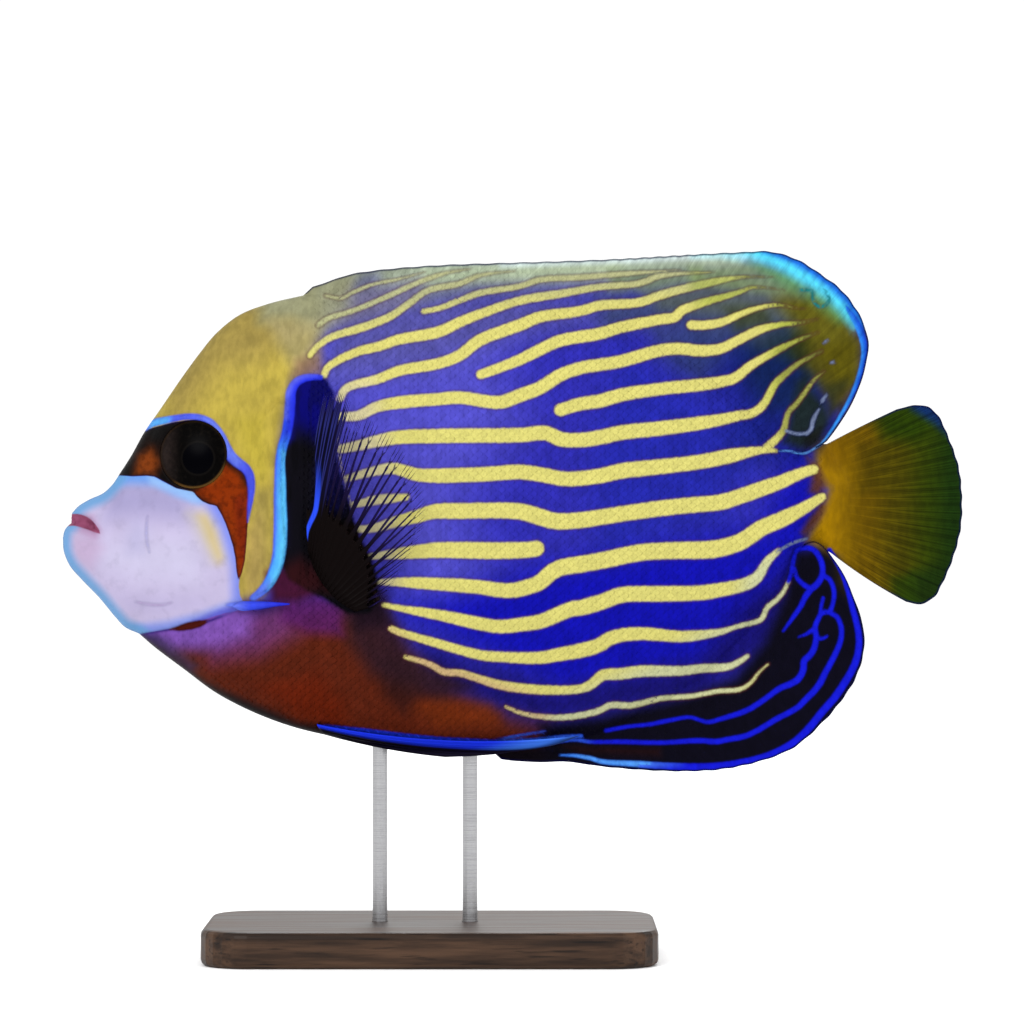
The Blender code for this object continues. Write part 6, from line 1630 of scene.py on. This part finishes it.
def make_coat(skin, silhouette, unwrap):
    """Overlapping scales, each a rounded plate whose root and sides sink into the skin."""
    roots, size, shown = scale_roots()
    out, across, length, width, lift = scale_shape()
    rng = np.random.default_rng(SEED + 1)
    turn = rng.uniform(-SCALE_TURN, SCALE_TURN, len(roots))[:, None]
    tone = rng.uniform(0.0, 1.0, len(roots))
    flat = roots[:, None, :] + size[:, None, None] * np.stack([
        np.cos(turn) * length - np.sin(turn) * width, np.sin(turn) * length + np.cos(turn) * width], axis=-1)
    good, places, facings = found_on(skin, flat)
    flat, roots, size, shown, tone = flat[good], roots[good], size[good], shown[good], tone[good]
    height = lift * size[:, None] - SCALE_SINK * (1.0 - shown[:, None])
    shell = places + facings * height[..., None]
    count, columns = len(out), len(SCALE_SPAN)
    corners = [row * columns + column for row in range(len(SCALE_CUTS) - 1) for column in range(columns - 1)]
    cell = np.array([(a, *rest) for a in corners
                     for rest in ((a + 1, a + 1 + columns), (a + 1 + columns, a + columns))])
    finish = skin_finish("fish_scales", coat=True)
    patch = MAP_PATCH * np.c_[out - 0.5, across / 2]
    found = markings(flat.reshape(-1, 2))
    found["rim"] = rim_distance(flat.reshape(-1, 2), silhouette)
    found["brink"] = np.hypot(found["rim"], BRINK_DEPTH * places[..., 1].ravel())
    found["tone"] = np.repeat(0.5 + (tone - 0.5) * shown, count)
    for label, side in (("left", -1.0), ("right", 1.0)):
        for part, chosen in (("front", roots[:, 0] < COAT_SPLIT), ("rear", roots[:, 0] >= COAT_SPLIT)):
            points = shell[chosen].reshape(-1, 3) * (1.0, side, 1.0)
            faces = (cell[None] + count * np.arange(chosen.sum())[:, None, None]).reshape(-1, 3)
            faces = faces[:, ::-1] if side > 0 else faces
            coat = add_object(f"scales_{label}_{part}", points, faces.tolist(), finish)
            rows = np.repeat(chosen, count)
            for name, values in found.items():
                give(coat, name, values[rows])
            middle = unwrap.flat(roots[chosen], np.full(chosen.sum(), side > 0))
            give_bake_map(coat, (middle[:, None, :] + patch[None]).reshape(-1, 2))
            keep(coat, "skin", "torso")


def both_sides(name, slot, finish, plan, faces, inner, outer, kept=()):
    """A solid on the right flank, between two distances from the fish's middle, and its mirror image."""
    points, solid, source = two_faced(plan, faces, inner, outer)
    for side, label in ((-1.0, "left"), (1.0, "right")):
        turned = solid if side > 0 else [tuple(reversed(face)) for face in solid]
        made = add_object(f"{name}_{label}_piece", points * (1.0, side, 1.0), turned, finish)
        for key, values in dict(kept).items():
            give(made, key, values[source])
        keep(made, slot, f"{name}_{label}")


def clear_half_width(points):
    """A half width that stays clear of the body's surface, also where it is steep."""
    steps = [(0.0, 0.0)] + list(circle((0.0, 0.0), CLEAR_REACH, 8))
    return GAP + np.max([bare_half_width(points + step) for step in steps], axis=0)


def make_eyes():
    """A shallow dome over a disc, with the distances that the iris is drawn by."""
    rings = np.linspace(0.0, EYE_RADIUS, EYE_RINGS + 1)[1:]
    plan = np.vstack([[EYE_CENTRE]] + [circle(EYE_CENTRE, radius, EYE_SIDES) for radius in rings])
    faces = [(0, 1 + i, 1 + (i + 1) % EYE_SIDES) for i in range(EYE_SIDES)]
    for first in range(1, 1 + (EYE_RINGS - 1) * EYE_SIDES, EYE_SIDES):
        for i in range(EYE_SIDES):
            a, b = first + i, first + (i + 1) % EYE_SIDES
            faces += [(a, a + EYE_SIDES, b + EYE_SIDES), (a, b + EYE_SIDES, b)]
    plane, bulge = eye_plane(plan), eye_bulge(plan)
    inner = plane - EYE_EDGE - (EYE_DEPTH - EYE_EDGE) * bulge
    outer = plane + EYE_PROUD + EYE_DOME * bulge
    pupil = np.linalg.norm(plan - place(PUPIL_CENTRE), axis=1) - PUPIL_RADIUS
    edge = EYE_RADIUS - np.linalg.norm(plan - EYE_CENTRE, axis=1)
    ahead, below = ((EYE_CENTRE - plan) / EYE_RADIUS).T
    both_sides("eye", "eye", eye_finish(), plan, faces, inner, outer,
               {"pupil": pupil, "eye_edge": edge, "ahead": ahead, "below": below})


def make_cheek_spines():
    """A pointed keel along its line, whose root goes into the cheek."""
    across, out = np.linspace(1.0, -1.0, SPINE_ROWS), np.linspace(0.0, 1.0, SPINE_CUTS)
    keel = along(curve(SPINE_LINE, FINE), out)
    lost, power = SPINE_TAPER
    half_height = SPINE_HALF_HEIGHT * (1.0 - lost * out**power) * np.sqrt(smoothstep(*SPINE_BLUNTING, out))
    upwards = (shifted(keel, 1.0) - keel) * half_height[:, None]
    plan = np.vstack([keel + share * upwards for share in across])
    faces = grid_faces(plan, SPINE_ROWS, SPINE_CUTS)
    root_level = clear_half_width(plan).reshape(SPINE_ROWS, -1).max(axis=0)
    inner = np.tile(root_level + SPINE_LIFT * out**1.5, SPINE_ROWS)
    crown = np.repeat(np.sqrt(1.0 - SPINE_ARCH * np.square(across)), SPINE_CUTS)
    outer = inner + SPINE_THICKNESS * np.tile(1.0 - SPINE_SLIMMING * out, SPINE_ROWS) * crown
    inner -= np.tile(SPINE_SINK[0] * smoothstep(SPINE_SINK[1], 0.0, out), SPINE_ROWS)
    both_sides("cheek_spine", "cheek_spine", spine_finish(), plan, faces, inner, outer,
               {"depth": np.tile(out, SPINE_ROWS)})


def paired_fin(name, finish, fan, ridge, middle, half, sink):
    """A fin on each side, whose root sinks into the body over a share of its rays."""
    depth, share = sink
    inner = middle - half - depth * smoothstep(share, 0.0, fan.row)
    both_sides(name, "fin", finish, fan.plan, fan.faces, inner, middle + half,
               {"ridge": ridge, "depth": fan.row, "share": fan.share})


def thinned(fan, half, reach):
    """The half thickness, rounded down towards the fan's free edges."""
    return PAIRED_EDGE_HALF + (half - PAIRED_EDGE_HALF) * fan.edge_rounding(reach)


def make_pectoral_fins():
    """They leave the flank at a low root and splay out backwards; the fleshy root sinks into the flank."""
    fan = Fan(curve(PECTORAL_ROOT, FINE), PECTORAL_MARGIN, PECTORAL_GUIDES,
              np.linspace(0.0, 1.0, PECTORAL_RAYS), PECTORAL_BOW, PECTORAL_BETWEEN, PECTORAL_ROWS)
    ridge = fan.ridge(1, PECTORAL_RAY_WIDTH)
    membrane = MARGIN_HALF + (PECTORAL_ROOT_HALF - MARGIN_HALF) * (1.0 - fan.row) ** PECTORAL_TAPER
    half = thinned(fan, membrane + PECTORAL_RELIEF * ridge * (1.0 - 0.5 * fan.row), PECTORAL_EDGE)
    out = np.linalg.norm(fan.plan - fan.start, axis=1)
    middle = clear_half_width(fan.start) + PECTORAL_ROOT_HALF + PECTORAL_SPLAY * (out / out.max()) ** 1.3
    middle = np.maximum(middle, clear_half_width(fan.plan) + half + PECTORAL_CLEARANCE)
    sink = (PECTORAL_ROOT_HALF + PECTORAL_SINK[0], PECTORAL_SINK[1])
    paired_fin("pectoral_fin", pectoral_finish(), fan, ridge, middle, half, sink)


def make_pelvic_fins():
    """They are folded back along the belly, on either side of the rods."""
    fan = Fan(curve(PELVIC_ROOT, FINE), PELVIC_MARGIN, PELVIC_GUIDES,
              np.linspace(0.0, 1.0, PELVIC_RAYS), PELVIC_BOW, PELVIC_BETWEEN, PELVIC_ROWS)
    ridge = fan.ridge(1, PELVIC_RAY_WIDTH)
    membrane = MARGIN_HALF + (PELVIC_ROOT_HALF - MARGIN_HALF) * (1.0 - fan.row) ** PELVIC_TAPER
    relief = PELVIC_RELIEF * ridge * smoothstep(*PELVIC_RISE, fan.row) * (1.0 - 0.6 * fan.row)
    half = thinned(fan, membrane + relief, PELVIC_EDGE)
    hugging = np.maximum(clear_half_width(fan.plan), ROD_RADIUS + 3 * GAP)
    middle = hugging + PELVIC_ROOT_HALF + PELVIC_RELIEF + PELVIC_SPLAY * fan.row**2
    paired_fin("pelvic_fin", pelvic_finish(), fan, ridge, middle, half, PELVIC_SINK)


def finish_stand():
    """The base and the rods stay as they are in the frame, with their finishes."""
    for node, finish in (("stand_base", wood_finish()), ("stand_rod_front", steel_finish()),
                         ("stand_rod_rear", bpy.data.materials["brushed_rod"])):
        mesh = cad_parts[node].data
        mesh.materials.clear()
        mesh.materials.append(finish)


# Studio


def make_stage():
    """A pale floor and an even white world."""
    mesh = bpy.data.meshes.new("floor")
    corners = [(x * FLOOR_REACH, y * FLOOR_REACH, 0.0) for x, y in ((-1, -1), (1, -1), (1, 1), (-1, 1))]
    mesh.from_pydata(corners, [], [(0, 1, 2, 3)])
    mesh.materials.append(floor_finish())
    floor = bpy.data.objects.new("floor", mesh)
    bpy.context.scene.collection.objects.link(floor)
    world = bpy.data.worlds.new("studio")
    world.use_nodes = True
    sky = world.node_tree.nodes["Background"].inputs
    sky["Color"].default_value = (1.0, 1.0, 1.0, 1.0)
    sky["Strength"].default_value = WORLD_STRENGTH
    bpy.context.scene.world = world


def add_light(name, place_at, size, power):
    light = bpy.data.lights.new(name, "AREA")
    light.shape, light.size, light.energy = "DISK", size, power
    made = bpy.data.objects.new(name, light)
    made.location = place_at
    made.rotation_euler = (Vector(AIM) - Vector(place_at)).to_track_quat("-Z", "Y").to_euler()
    bpy.context.scene.collection.objects.link(made)


def make_camera():
    """Level with the middle of the photograph's frame, and far off, so that there is little perspective."""
    camera = bpy.data.cameras.new("camera")
    camera.sensor_width = SENSOR
    span = PHOTO_SIZE / PIXELS_PER_MM * MM
    camera.lens = camera.sensor_width * CAMERA_DISTANCE / span
    camera.clip_end = CLIP_END
    made = bpy.data.objects.new("camera", camera)
    made.location = (0.0, -CAMERA_DISTANCE, (PHOTO_FLOOR - PHOTO_SIZE / 2) / PIXELS_PER_MM * MM)
    made.rotation_euler = (math.pi / 2, 0.0, 0.0)
    bpy.context.scene.collection.objects.link(made)
    bpy.context.scene.camera = made


def main():
    unwrap = Unwrap()
    skin, silhouette = make_skin(unwrap)
    make_coat(skin, silhouette, unwrap)
    make_eyes()
    make_cheek_spines()
    make_pectoral_fins()
    make_pelvic_fins()
    finish_stand()
    make_stage()
    for name, (place_at, size, power) in LIGHTS.items():
        add_light(name, place_at, size, power)
    make_camera()
    bpy.context.scene.view_settings.view_transform = "Standard"


main()
